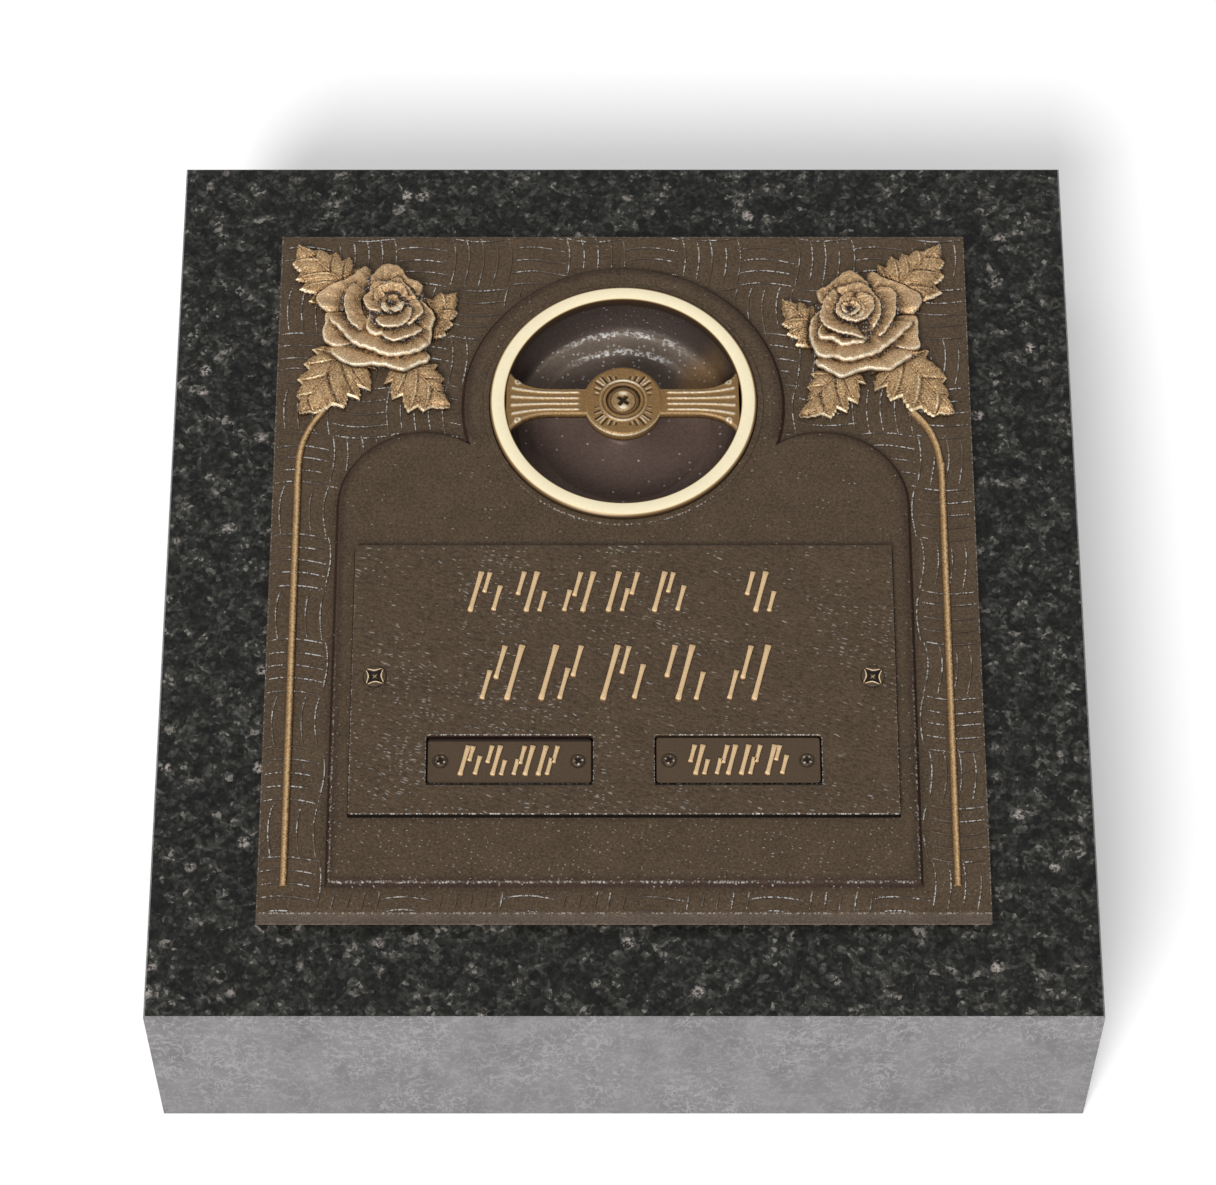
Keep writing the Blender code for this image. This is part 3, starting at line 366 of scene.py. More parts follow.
class Skin:
    """Points (x, y, z, tone) and faces of a piece that is put together from closed shells."""

    def __init__(self, points=(), faces=()):
        self.points = list(points)
        self.faces = list(faces)

    def loft(self, rings):
        """Shell through rings of points; its two ends are capped."""
        start = len(self.points)
        count = len(rings[0])
        for ring in rings:
            self.points.extend(ring)
        end = len(self.points) - count
        for row in range(start, end, count):
            for j in range(count):
                k = (j + 1) % count
                self.faces.append((row + j, row + k, row + count + k, row + count + j))
        self.faces.append(tuple(range(start + count - 1, start - 1, -1)))
        self.faces.append(tuple(range(end, end + count)))

    def polar(self, centre, places, scale, surface, foot, segments):
        """Round shell whose top is surface(place, angle), a height and a tone; its side drops to foot."""
        start = len(self.points)
        first = start + 1
        angles = [2 * math.pi * k / segments for k in range(segments)]
        rows = [[surface(place, angle) for angle in angles] for place in places]
        height, tone = np.mean(rows[0], axis=0)
        self.points.append((*centre, float(height), float(tone)))
        for place, row in zip((*places, places[-1]), rows + [[(foot, 0.0)] * segments]):
            for angle, (height, tone) in zip(angles, row):
                x = centre[0] + scale * place * math.cos(angle)
                self.points.append((x, centre[1] + scale * place * math.sin(angle), height, tone))
        for k in range(segments):
            n = (k + 1) % segments
            self.faces.append((start, first + k, first + n))
            for row in range(first, first + len(places) * segments, segments):
                self.faces.append((row + k, row + segments + k, row + segments + n, row + n))
        bottom = len(self.points) - segments
        self.faces.append(tuple(range(bottom + segments - 1, bottom - 1, -1)))

    def turned(self, profile, segments):
        """Closed ring or cup about the vase's axis, from (radius, height, tone); radius 0 gives one point."""
        rows = []
        for radius, height, tone in profile:
            rows.append((len(self.points), radius > 0))
            circle = arc((0, VASE_Y), radius, 0, 360, segments)[:-1]
            self.points.extend((x, y, height, tone) for x, y in (circle if radius > 0 else circle[:1]))
        for (first, wide), (other, other_wide) in zip(rows, rows[1:] + rows[:1]):
            for k in range(segments):
                n = (k + 1) % segments
                if wide and other_wide:
                    self.faces.append((first + k, first + n, other + n, other + k))
                elif wide:
                    self.faces.append((first + k, first + n, other))
                elif other_wide:
                    self.faces.append((first, other + n, other + k))

    def object(self, name, material, smooth=40):
        """The finished piece; smooth is the sharpest soft angle."""
        mesh = bpy.data.meshes.new(name)
        mesh.from_pydata([point[:3] for point in self.points], [], self.faces)
        layer = mesh.attributes.new("tone", "FLOAT", "POINT")
        layer.data.foreach_set("value", np.array([point[3] for point in self.points], np.float32))
        shape = bmesh.new()
        shape.from_mesh(mesh)
        bmesh.ops.dissolve_degenerate(shape, dist=0.000001, edges=shape.edges)
        bmesh.ops.recalc_face_normals(shape, faces=shape.faces)
        shape.to_mesh(mesh)
        shape.free()
        mesh.materials.append(material)
        soften(mesh, smooth)
        return add_object(name, mesh)


def arc(centre, radius, start, end, segments):
    """Points along an arc, its ends included; angles in degrees."""
    angles = np.radians(np.linspace(start, end, segments + 1))
    return [(centre[0] + radius * math.cos(a), centre[1] + radius * math.sin(a)) for a in angles]


def rectangle_at(centre, width, depth, radius):
    """Function that gives the outline of a round-cornered rectangle at an inset, anticlockwise."""
    def outline(inset):
        corner = max(radius - inset, 0.0002)
        a = width / 2 - inset - corner
        b = depth / 2 - inset - corner
        points = []
        for sx, sy, start in ((1, -1, -90), (1, 1, 0), (-1, 1, 90), (-1, -1, 180)):
            points += arc((centre[0] + sx * a, centre[1] + sy * b), corner, start, start + 90, 5)
        return points
    return outline


def circle_at(centre, radius, segments):
    """Function that gives a circle at an inset."""
    return lambda inset: arc(centre, radius - inset, 0, 360, segments)[:-1]


def slab(outline, steps):
    """Closed block through (inset, height) steps of an outline, from its foot to its top."""
    skin = Skin()
    skin.loft([[(x, y, z, 0.0) for x, y in outline(inset)] for inset, z in steps])
    return skin


def rounded_steps(low, high, edge, slope=0.0):
    """Steps of a slab with upright or sloping sides and a rounded top edge."""
    return [(0.0, low), (slope, high - edge), (slope + 0.3 * edge, high - 0.3 * edge), (slope + edge, high),
            (slope + edge + 0.5 * MM, high)]


def cut(target, name, outline, steps, operation="DIFFERENCE"):
    """Cut a block out of an object, or join it on."""
    tool = slab(outline, steps).object(name, target.data.materials[0])
    modifier = target.modifiers.new(name, "BOOLEAN")
    modifier.operation = operation
    modifier.solver = "EXACT"
    modifier.object = tool
    apply_modifiers(target)
    bpy.data.objects.remove(tool, do_unlink=True)


def apply_modifiers(obj):
    """Turn what an object's modifiers give into its plain mesh."""
    depsgraph = bpy.context.evaluated_depsgraph_get()
    mesh = bpy.data.meshes.new_from_object(obj.evaluated_get(depsgraph))
    obj.modifiers.clear()
    obj.data = mesh


def keep(obj, slot, *nodes):
    """Set a finished piece on the root body and hide the solids that it stands for; slot is not used."""
    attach(obj, "root")
    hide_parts(*nodes)


# Node trees

class Value:
    """Output of a node, which sums, products and limits can be written with."""

    def __init__(self, graph, socket):
        self.graph = graph
        self.socket = socket

    def __getitem__(self, name):
        """Another output of the same node."""
        return Value(self.graph, self.socket.node.outputs[name])

    def math(self, operation, *others, limit=False):
        """Result of a Math node on this value and others."""
        values = dict(enumerate((self, *others)))
        return self.graph.node("ShaderNodeMath", values, operation=operation, use_clamp=limit)

    def __add__(self, other):
        return self.math("ADD", other)

    def __sub__(self, other):
        return self.math("SUBTRACT", other)

    def __rsub__(self, other):
        return self.graph.node("ShaderNodeMath", {0: other, 1: self}, operation="SUBTRACT")

    def __mul__(self, other):
        return self.math("MULTIPLY", other)

    def __truediv__(self, other):
        return self.math("DIVIDE", other)

    def __abs__(self):
        return self.math("ABSOLUTE")

    def most(self, *others):
        """The largest of several values."""
        result = self
        for other in others:
            result = result.math("MAXIMUM", other)
        return result

    def between(self, low, high, kind="SMOOTHSTEP"):
        """0 at low, 1 at high, soft between."""
        values = {"Value": self, "From Min": low, "From Max": high}
        return self.graph.node("ShaderNodeMapRange", values, interpolation_type=kind)

    def share(self, low, high):
        """0 at low, 1 at high, even between."""
        return self.between(low, high, "LINEAR")

    def vector(self, operation, other, out=0):
        """Result of a Vector Math node on this value and another."""
        slot = "Scale" if operation == "SCALE" else 1
        return self.graph.node("ShaderNodeVectorMath", {0: self, slot: other}, out, operation=operation)

    def part(self, axis):
        """X, Y or Z of a vector."""
        return self.graph.node("ShaderNodeSeparateXYZ", {"Vector": self}, axis)

    def channel(self, name):
        """Red, Green or Blue of a colour."""
        return self.graph.node("ShaderNodeSeparateColor", {"Color": self}, name)


class Graph:
    """Node tree that is filled through values; colours are given as numbers from 0 to 255."""

    def __init__(self, tree):
        self.tree = tree

    def node(self, kind, values, out=0, **settings):
        """Add a node; gives its output of that name or number."""
        made = self.tree.nodes.new(kind)
        for key, value in settings.items():
            setattr(made, key, value)
        for key, value in values.items():
            self.put(value, made.inputs[key])
        return Value(self, made.outputs[out])

    def put(self, value, socket):
        """Link a value to a socket, or write a plain one there."""
        if isinstance(value, Value):
            self.tree.links.new(value.socket, socket)
        else:
            socket.default_value = value

    def middle(self):
        """Object coordinates."""
        return self.node("ShaderNodeTexCoord", {}, "Object")

    def axis(self, name):
        """One of the Object coordinates."""
        return self.middle().part(name)

    def normal(self):
        """The surface's normal."""
        return self.node("ShaderNodeNewGeometry", {}, "Normal")

    def tone(self):
        """The tone that the mesh carries: 0 in recesses dark with patina and painted shade, 1 on rubbed edges
        with painted highlights.
        """
        return self.node("ShaderNodeAttribute", {}, "Fac", attribute_name="tone")

    def cells(self, size, turn=0.0, place=None):
        """Coordinates counted in cells of a size in metres, turned about Z."""
        values = {"Vector": place or self.middle(), "Rotation": (0, 0, turn), "Scale": size}
        return self.node("ShaderNodeMapping", values, vector_type="TEXTURE")

    def uneven_cells(self, size, turn):
        """Cells of coordinates that are pushed about a little, so no rows show."""
        return self.cells(size, turn, self.pushed(self.middle(), 60.0, 2.0, 0.008))

    def noise(self, place, scale, detail=2.0, roughness=0.5):
        """Soft noise value."""
        values = {"Vector": place, "Scale": scale, "Detail": detail, "Roughness": roughness}
        return self.node("ShaderNodeTexNoise", values)

    def pushed(self, place, scale, detail, amount):
        """Coordinates that are pushed about by soft noise."""
        return place.vector("ADD", self.noise(place, scale, detail)["Color"].vector("SCALE", amount))

    def crystals(self, place, scale, feature="F1", dimensions="3D"):
        """Distance in a pattern of uneven cells; its Color is the cell's own."""
        values = {"Vector": place, "Scale": scale}
        return self.node("ShaderNodeTexVoronoi", values, feature=feature, voronoi_dimensions=dimensions)

    def length(self, x, y):
        """Length of the way with two parts."""
        both = self.node("ShaderNodeCombineXYZ", {"X": x, "Y": y})
        return self.node("ShaderNodeVectorMath", {0: both}, "Value", operation="LENGTH")

    def ramp(self, value, stops):
        """Colours along a value, from stops of (position, red, green, blue)."""
        result = self.node("ShaderNodeValToRGB", {"Fac": value})
        elements = result.socket.node.color_ramp.elements
        for k, (position, *colour) in enumerate(stops):
            element = elements[k] if k < 2 else elements.new(position)
            element.position = position
            element.color = srgb(*colour)
        return result

    def by_height(self, stops):
        """Colours by height, from stops of (height, red, green, blue)."""
        low = stops[0][0]
        high = stops[-1][0]
        shares = [((z - low) / (high - low), *colour) for z, *colour in stops]
        return self.ramp(self.axis("Z").share(low, high), shares)

    def mix(self, amount, first, second, blend="MIX"):
        """Mix of two colours."""
        values = {0: amount, 6: first, 7: second}
        for key in (6, 7):
            if isinstance(values[key], tuple):
                values[key] = srgb(*values[key])
        return self.node("ShaderNodeMix", values, 2, data_type="RGBA", blend_type=blend)

    def group(self, name, **values):
        """Place a shader group, its inputs named with _ for a space."""
        named = {key.replace("_", " "): value for key, value in values.items()}
        return self.node("ShaderNodeGroup", named, node_tree=bpy.data.node_groups[name])

    def grain(self, colour, scale, contrast):
        """A colour with the grain of cast metal; its Height is for bump."""
        colour = srgb(*colour) if isinstance(colour, tuple) else colour
        return self.group("cast_grain", Color=colour, Grain_Scale=scale, Contrast=contrast)

    def band(self, low, high):
        """1 between two heights."""
        return self.group("height_band", Low=low, High=high)

    def glints(self, cells, share, size):
        """Small glints in a share of some cells."""
        return self.group("small_glints", Cells=cells, Share=share, Size=size)

    def dotted(self, low, high, cell, share=0.6):
        """Row of glints along an edge between two heights."""
        return self.band(low, high) * self.glints(self.cells((cell, cell, 1)), share, 0.48)


def new_group(name, kind, inputs, outputs):
    """Empty node group; gives its graph, its given values and its result sockets."""
    tree = bpy.data.node_groups.new(name, kind)
    for in_out, sockets in (("INPUT", inputs), ("OUTPUT", outputs)):
        for socket, socket_type in sockets.items():
            tree.interface.new_socket(name=socket, in_out=in_out, socket_type="NodeSocket" + socket_type)
    graph = Graph(tree)
    given = tree.nodes.new("NodeGroupInput").outputs
    return graph, {key: Value(graph, given[key]) for key in inputs}, tree.nodes.new("NodeGroupOutput").inputs


def finish_tree(graph, pieces, material, result):
    """End of a geometry tree: plain geometry with its material."""
    real = graph.node("GeometryNodeRealizeInstances", {"Geometry": pieces})
    painted = graph.node("GeometryNodeSetMaterial", {"Geometry": real, "Material": material})
    graph.put(painted, result["Geometry"])
    return graph.tree


def line_tree():
    """Round bead along every line of a mesh, thinner at its ends."""
    graph, given, result = new_group("bead_along_lines", "GeometryNodeTree", {
        "Lines": "Geometry", "Radius": "Float", "Step": "Float", "Sides": "Int", "End Thinning": "Float",
        "Material": "Material",
    }, {"Geometry": "Geometry"})
    curve = graph.node("GeometryNodeMeshToCurve", {"Mesh": given["Lines"]})
    even = graph.node("GeometryNodeResampleCurve", {"Curve": curve, "Length": given["Step"]}, mode="LENGTH")
    place = graph.node("GeometryNodeSplineParameter", {}, "Factor")
    share = 1.0 - abs(place * 2.0 - 1.0).math("POWER", 4.0) * given["End Thinning"]
    sized = graph.node("GeometryNodeSetCurveRadius", {"Curve": even, "Radius": share})
    round_profile = {"Resolution": given["Sides"], "Radius": given["Radius"]}
    profile = graph.node("GeometryNodeCurvePrimitiveCircle", round_profile)
    bead = graph.node("GeometryNodeCurveToMesh", {"Curve": sized, "Profile Curve": profile, "Scale": share,
                                                  "Fill Caps": True})
    return finish_tree(graph, bead, given["Material"], result)


def scatter_tree():
    """Copy of a pattern piece on every point of a mesh, sized and turned by the point's own values."""
    graph, given, result = new_group("piece_on_points", "GeometryNodeTree", {
        "Points": "Geometry", "Piece": "Object", "Material": "Material",
    }, {"Geometry": "Geometry"})
    size = graph.node("GeometryNodeInputNamedAttribute", {"Name": "size"}, data_type="FLOAT_VECTOR")
    turn = graph.node("GeometryNodeInputNamedAttribute", {"Name": "turn"}, data_type="FLOAT")
    copies = graph.node("GeometryNodeInstanceOnPoints", {
        "Points": given["Points"],
        "Instance": graph.node("GeometryNodeObjectInfo", {"Object": given["Piece"]}, "Geometry"),
        "Rotation": graph.node("ShaderNodeCombineXYZ", {"Z": turn}),
        "Scale": size,
    })
    return finish_tree(graph, copies, given["Material"], result)


def grown(name, mesh, tree, inputs):
    """Piece that a geometry tree makes of a mesh, with the tree's inputs set by their names."""
    obj = add_object(name, mesh)
    modifier = obj.modifiers.new(name, "NODES")
    modifier.node_group = tree
    for item in tree.interface.items_tree:
        if item.in_out == "INPUT" and item.name in inputs:
            modifier[item.identifier] = inputs[item.name]
    apply_modifiers(obj)
    return obj


def beads(name, lines, radius, step, sides, thinning, material, tree):
    """Piece made of beads that follow lines of (x, y, z) points."""
    points = []
    edges = []
    for line in lines:
        edges.extend((len(points) + i, len(points) + i + 1) for i in range(len(line) - 1))
        points.extend(line)
    mesh = bpy.data.meshes.new(name)
    mesh.from_pydata(points, edges, [])
    obj = grown(name, mesh, tree, {"Radius": radius, "Step": step, "Sides": sides, "End Thinning": thinning,
                                   "Material": material})
    obj.data.shade_smooth()
    return obj


def copies(name, pattern, places, sizes, turns, tree):
    """Piece made of copies of a pattern object, which is then removed."""
    mesh = bpy.data.meshes.new(name)
    mesh.from_pydata(places, [], [])
    size = mesh.attributes.new("size", "FLOAT_VECTOR", "POINT")
    size.data.foreach_set("vector", np.array(sizes, np.float32).ravel())
    turn = mesh.attributes.new("turn", "FLOAT", "POINT")
    turn.data.foreach_set("value", np.array(turns, np.float32))
    obj = grown(name, mesh, tree, {"Piece": pattern, "Material": pattern.data.materials[0]})
    bpy.data.objects.remove(pattern, do_unlink=True)
    return obj


# Plaque

def shoulder_meeting(inset):
    """Angle on the arch and on the right shoulder where the two outlines cross."""
    arch = ARCH_RADIUS - inset
    radius = SHOULDER_RADIUS - inset
    dy = SHOULDER_Y - VASE_Y
    apart = math.hypot(SHOULDER_X, dy)
    along = (apart ** 2 + arch ** 2 - radius ** 2) / (2 * apart)
    off = math.sqrt(max(arch ** 2 - along ** 2, 0))
    x = along * SHOULDER_X / apart - off * dy / apart
    y = along * dy / apart + off * SHOULDER_X / apart
    return math.degrees(math.atan2(y, x)), math.degrees(math.atan2(y + VASE_Y - SHOULDER_Y, x - SHOULDER_X))


def panel_at(inset):
    """Outline of the panel with its shoulders and the arch round the vase, anticlockwise."""
    half = PANEL_HALF - inset
    front = PANEL_FRONT + inset
    arch_angle, shoulder_angle = shoulder_meeting(inset)
    right = arc((SHOULDER_X, SHOULDER_Y), SHOULDER_RADIUS - inset, 0, shoulder_angle, 24)
    top = arc((0, VASE_Y), ARCH_RADIUS - inset, arch_angle, 180 - arch_angle, 96)
    left = [(-x, y) for x, y in reversed(right)]
    return [(-half, front), (half, front)] + right + top[1:-1] + left


def plaque_body(material):
    """Slab with the raised panel and collar, cut for the vase and the name plate."""
    body = slab(rectangle_at((0, 0), PLAQUE_WIDTH, PLAQUE_DEPTH, PLAQUE_CORNER),
                rounded_steps(PLAQUE_UNDER, GROUND, PLAQUE_EDGE, PLAQUE_DRAFT)).object("plaque_body", material)
    cut(body, "panel", panel_at, [
        (-PANEL_SLOPE * EMBED / (PANEL_TOP - GROUND), GROUND - EMBED),
        (0.0, GROUND),
        (0.70 * PANEL_SLOPE, PANEL_TOP - 0.0008),
        (0.95 * PANEL_SLOPE, PANEL_TOP - 0.0002),
        (1.25 * PANEL_SLOPE, PANEL_TOP),
        (1.60 * PANEL_SLOPE, PANEL_TOP),
    ], "UNION")
    rise = COLLAR_TOP - PANEL_TOP
    cut(body, "collar", circle_at((0, VASE_Y), COLLAR_RADIUS, ROUND_SEGMENTS), [
        (0.0, PANEL_TOP - EMBED),
        (0.0, PANEL_TOP),
        (0.6 * rise, PANEL_TOP + 0.8 * rise),
        (1.2 * rise, COLLAR_TOP),
        (2.2 * rise, COLLAR_TOP),
    ], "UNION")
    cut(body, "vase_opening", circle_at((0, VASE_Y), OPENING_RADIUS, ROUND_SEGMENTS), [
        (0.0, PLAQUE_UNDER - CUT_PAST),
        (0.0, RING_SEAT),
        (OPENING_RADIUS - SEAT_RADIUS, RING_SEAT + 0.00001),
        (OPENING_RADIUS - SEAT_RADIUS, COLLAR_TOP + CUT_PAST),
    ])
    width = NAME_WIDTH + 2 * NAME_GAP
    depth = NAME_DEPTH + 2 * NAME_GAP
    name_seat = rectangle_at((0, NAME_Y), width, depth, SEAT_CORNER)
    cut(body, "name_plate_seat", name_seat, [(0.0, NAME_SEAT_FLOOR), (0.0, PANEL_TOP + CUT_PAST)])
    soften(body.data, PLATE_SOFT_ANGLE)
    return body


def inside_panel(x, y):
    """True where the ground is covered by the panel."""
    if math.hypot(x, y - VASE_Y) < ARCH_RADIUS + RIDGE_MARGIN:
        return True
    if abs(x) > PANEL_HALF + RIDGE_MARGIN or y < PANEL_FRONT - RIDGE_MARGIN:
        return False
    if y < SHOULDER_Y:
        return True
    aside = abs(x) - SHOULDER_X
    if aside > 0:
        return math.hypot(aside, y - SHOULDER_Y) < SHOULDER_RADIUS + RIDGE_MARGIN
    return y < SHOULDER_Y + math.sqrt(max(SHOULDER_RADIUS ** 2 - aside ** 2, 0)) and abs(x) > ARCH_SIDE


def weave_lines():
    """Lines of the basket weave: bundles that run across and along in turn, each bowed."""
    chance = np.random.default_rng(7)
    half_x = PLAQUE_WIDTH / 2 - PLAQUE_DRAFT - WEAVE_EDGE
    half_y = PLAQUE_DEPTH / 2 - PLAQUE_DRAFT - WEAVE_EDGE
    lines = []
    for i in range(math.ceil(PLAQUE_WIDTH / WEAVE_CELL)):
        for j in range(-1, math.ceil(PLAQUE_DEPTH / WEAVE_CELL)):
            left = -PLAQUE_WIDTH / 2 + i * WEAVE_CELL
            top = PLAQUE_DEPTH / 2 - WEAVE_FROM_TOP - j * WEAVE_CELL
            across = (i + j) % 2 == 0
            bow = WEAVE_BOW * (1 if (j % 2 == 0 if across else i % 2 == 1) else -1)
            for k in range(WEAVE_LINES):
                shift = WEAVE_START + k * WEAVE_SPACING + chance.normal(0, WEAVE_WANDER)
                begin = 0.0002 + chance.uniform(0, 0.0010)
                end = WEAVE_CELL - chance.uniform(0.0002, 0.0010)
                own_bow = bow * chance.uniform(0.85, 1.15)
                line = []
                for step in np.linspace(begin, end, 16):
                    along = step / WEAVE_CELL
                    lift = own_bow * math.sin(math.pi * along ** 0.85) - WEAVE_TILT * along
                    x, y = (left + step, top - shift + lift) if across else (left + shift + lift, top - step)
                    if abs(x) < half_x and abs(y) < half_y and not inside_panel(x, y):
                        line.append((x, y, GROUND - RIDGE_SINK))
                    else:
                        lines.append(line)
                        line = []
                lines.append(line)
    return [line for line in lines if len(line) > 2]


# Roses

def smooth_value(values, share):
    """Read evenly spaced values with a smooth curve through them, at a share from 0 to 1."""
    place = share * (len(values) - 1)
    i = min(int(place), len(values) - 2)
    t = place - i
    before = values[max(i - 1, 0)]
    a = values[i]
    b = values[i + 1]
    after = values[min(i + 2, len(values) - 1)]
    return 0.5 * (2 * a + (b - before) * t + (2 * before - 5 * a + 4 * b - after) * t ** 2
                  + (3 * a - before - 3 * b + after) * t ** 3)


def petal_reach(spec, angle):
    """Reach of a petal at an angle in degrees, or nothing where the petal isn't; and how near its end is."""
    first, last, _, _, reaches = spec
    turned = (angle - first) % 360
    span = last - first
    if turned > 360 - PETAL_FADE:
        turned -= 360
    if turned > span + PETAL_FADE:
        return None, 0.0
    beyond = max(-turned, turned - span, 0.0)
    share = min(max(turned / span, 0.0), 1.0)
    return ROSE_REACH * smooth_value(reaches, share), 1 - beyond / PETAL_FADE


def recess_patina_and_shade(angle, radius, upper):
    """Share of the tone that is left in the recess beside the petals above a place on the rose, darkened by
    patina and painted shade.
    """
    shade = 0.0
    share = radius / ROSE_REACH
    wideness = 0.25 + 0.75 * smoothstep(0.22, 0.52, share) - 0.50 * smoothstep(0.68, 0.85, share)
    reach_here = RECESS_REACH * wideness
    for spec in upper:
        reach, here = petal_reach(spec, angle)
        if reach is not None and radius - reach >= -0.0005:
            off = max(radius - reach, 0.0)
            wide = 0.76 * math.exp(-(off / reach_here) ** 1.5)
            shade = max(shade, here * max(hill(off, RECESS_WIDTH), wide))
    return 1 - 0.92 * shade


def petal(skin, centre, spec, upper, chance):
    """One petal: a dished band with a rolled, slightly undercut lip."""
    first, last, lift_share, root, reaches = spec
    is_inner = lift_share >= INNER_LIFT
    in_bud = max(reaches) < 0.29
    roll = BUD_ROLL if in_bud else INNER_ROLL if is_inner else OUTER_ROLL
    dish = 0.55 if is_inner else 1.0
    foot = GROUND - EMBED
    stations = max(20, round(math.radians(last - first) * ROSE_REACH * max(reaches) / PETAL_STEP))
    waves = chance.uniform(0, 2 * math.pi, 6)
    rings = []
    for share in np.arange(stations) / (stations - 1):
        degrees = first + (last - first) * share
        angle = math.radians(degrees)
        end = abs(2 * share - 1)
        close = smoothstep(0.88, 1.0, end)
        ripple = sum(math.sin(angle * n + w) for n, w in zip((7, 13, 29), waves)) / 3
        wander = sum(math.sin(angle * n + w) for n, w in zip((5, 11, 37), waves[3:])) / 3
        rise = ROSE_LIFT * lift_share * (1 - 0.10 * end ** 3 - 0.30 * close) + 0.00050 * ripple
        radius = ROSE_REACH * smooth_value(reaches, share) * (1 - 0.05 * close) + 0.00055 * wander
        inner = radius * root
        inner += 0.70 * close * (radius - 2 * roll - inner)
        # Painted highlight: lips brighter towards the front
        shine = (0.62 - 0.38 * math.sin(angle)) * (0.88 + 0.12 * math.sin(angle * 31 + waves[1]))
        ring = [(inner, foot, 0.0)]
        for k, (place, height, tone) in enumerate(PETAL_RISE):
            r = inner + (radius - roll - inner) * place
            bumpy = 0.00034 * math.sin(angle * 17 + k * 1.3 + waves[0]) * math.sin(math.pi * place)
            # Tones: inner petals kept lighter; the bud's hood pale, its other folds dark low down as painted
            # shade and brighter towards the front as painted light
            if is_inner:
                tone = max(tone, 0.42)
            if in_bud and root > 0.6:
                tone = 1.0 - 0.5 * place
            elif in_bud:
                tone = 0.08 + 0.92 * smoothstep(0.15, 0.75, place) * (0.72 - 0.28 * math.sin(angle))
            height = GROUND + rise * (1 - dish * (1 - height)) + bumpy
            ring.append((r, height, tone * recess_patina_and_shade(degrees, r, upper)))
        for out, down, tone in PETAL_LIP:
            tone = tone if tone < 0.5 else 0.5 + (tone - 0.5) * shine
            ring.append((radius + out * roll, max(GROUND + rise - down * roll, foot + 0.0001), tone))
        ring.append((radius - 0.5 * roll, foot, 0.0))
        rings.append([(centre[0] + r * math.cos(angle), centre[1] + r * math.sin(angle), z, tone)
                      for r, z, tone in ring])
    skin.loft(rings)


def leaf_side(base, tip, teeth, side):
    """Edge points, midrib points and vein phases of one half of a leaf, from its base to its tip."""
    along = tip - base
    length = np.linalg.norm(along)
    along = along / length
    across = side * np.array((-along[1], along[0]))
    teeth = sorted((np.array(tooth) * MM for tooth in teeth), key=lambda tooth: float((tooth - base) @ along))
    starts = []
    previous = 0.03
    for tooth in teeth:
        forward = float((tooth - base) @ along) / length
        outward = abs(float((tooth - base) @ across)) / length
        previous = min(max(forward - 0.85 * outward, previous + 0.05), 0.88)
        starts.append(previous)
    knots = [(base, 0.0, 0.0, False)]
    ends = zip(teeth[1:] + [tip], starts[1:] + [1.0])
    for k, (tooth, start, (following, next_start)) in enumerate(zip(teeth, starts, ends)):
        knots.append((tooth, start, k + 1.0, True))
        outward = float((tooth - base) @ across)
        notch = tooth + NOTCH_FORWARD * (following - tooth) - across * NOTCH_DEPTH * outward
        knots.append((notch, start + 0.32 * (next_start - start), k + 1.32, False))
    knots.append((tip, 1.0, len(teeth) + 1.0, True))
    places = []
    for (p, m, f, sharp), (q, n, g, _) in zip(knots, knots[1:]):
        steps = 9 if sharp else 18
        chord = q - p
        normal = np.array((chord[1], -chord[0]))
        if float(normal @ across) < 0:
            normal = -normal
        bulge = -0.08 if sharp else 0.14
        size = max(float(np.linalg.norm(normal)), 0.0001)
        for s in range(steps):
            t = (s / steps) ** 1.5 if sharp else 1 - (1 - s / steps) ** 1.5
            nick = 0.0 if sharp else NICK_DEPTH * math.sin(math.pi * t) * ((3.0 * t) % 1.0 - 0.5)
            edge = p + chord * t + normal * (bulge * 2 * t * (1 - t) + nick / size)
            places.append((edge, base + (m + (n - m) * t) * length * along, f + (g - f) * t))
    places.append((tip, tip, len(teeth) + 1.0))
    return places


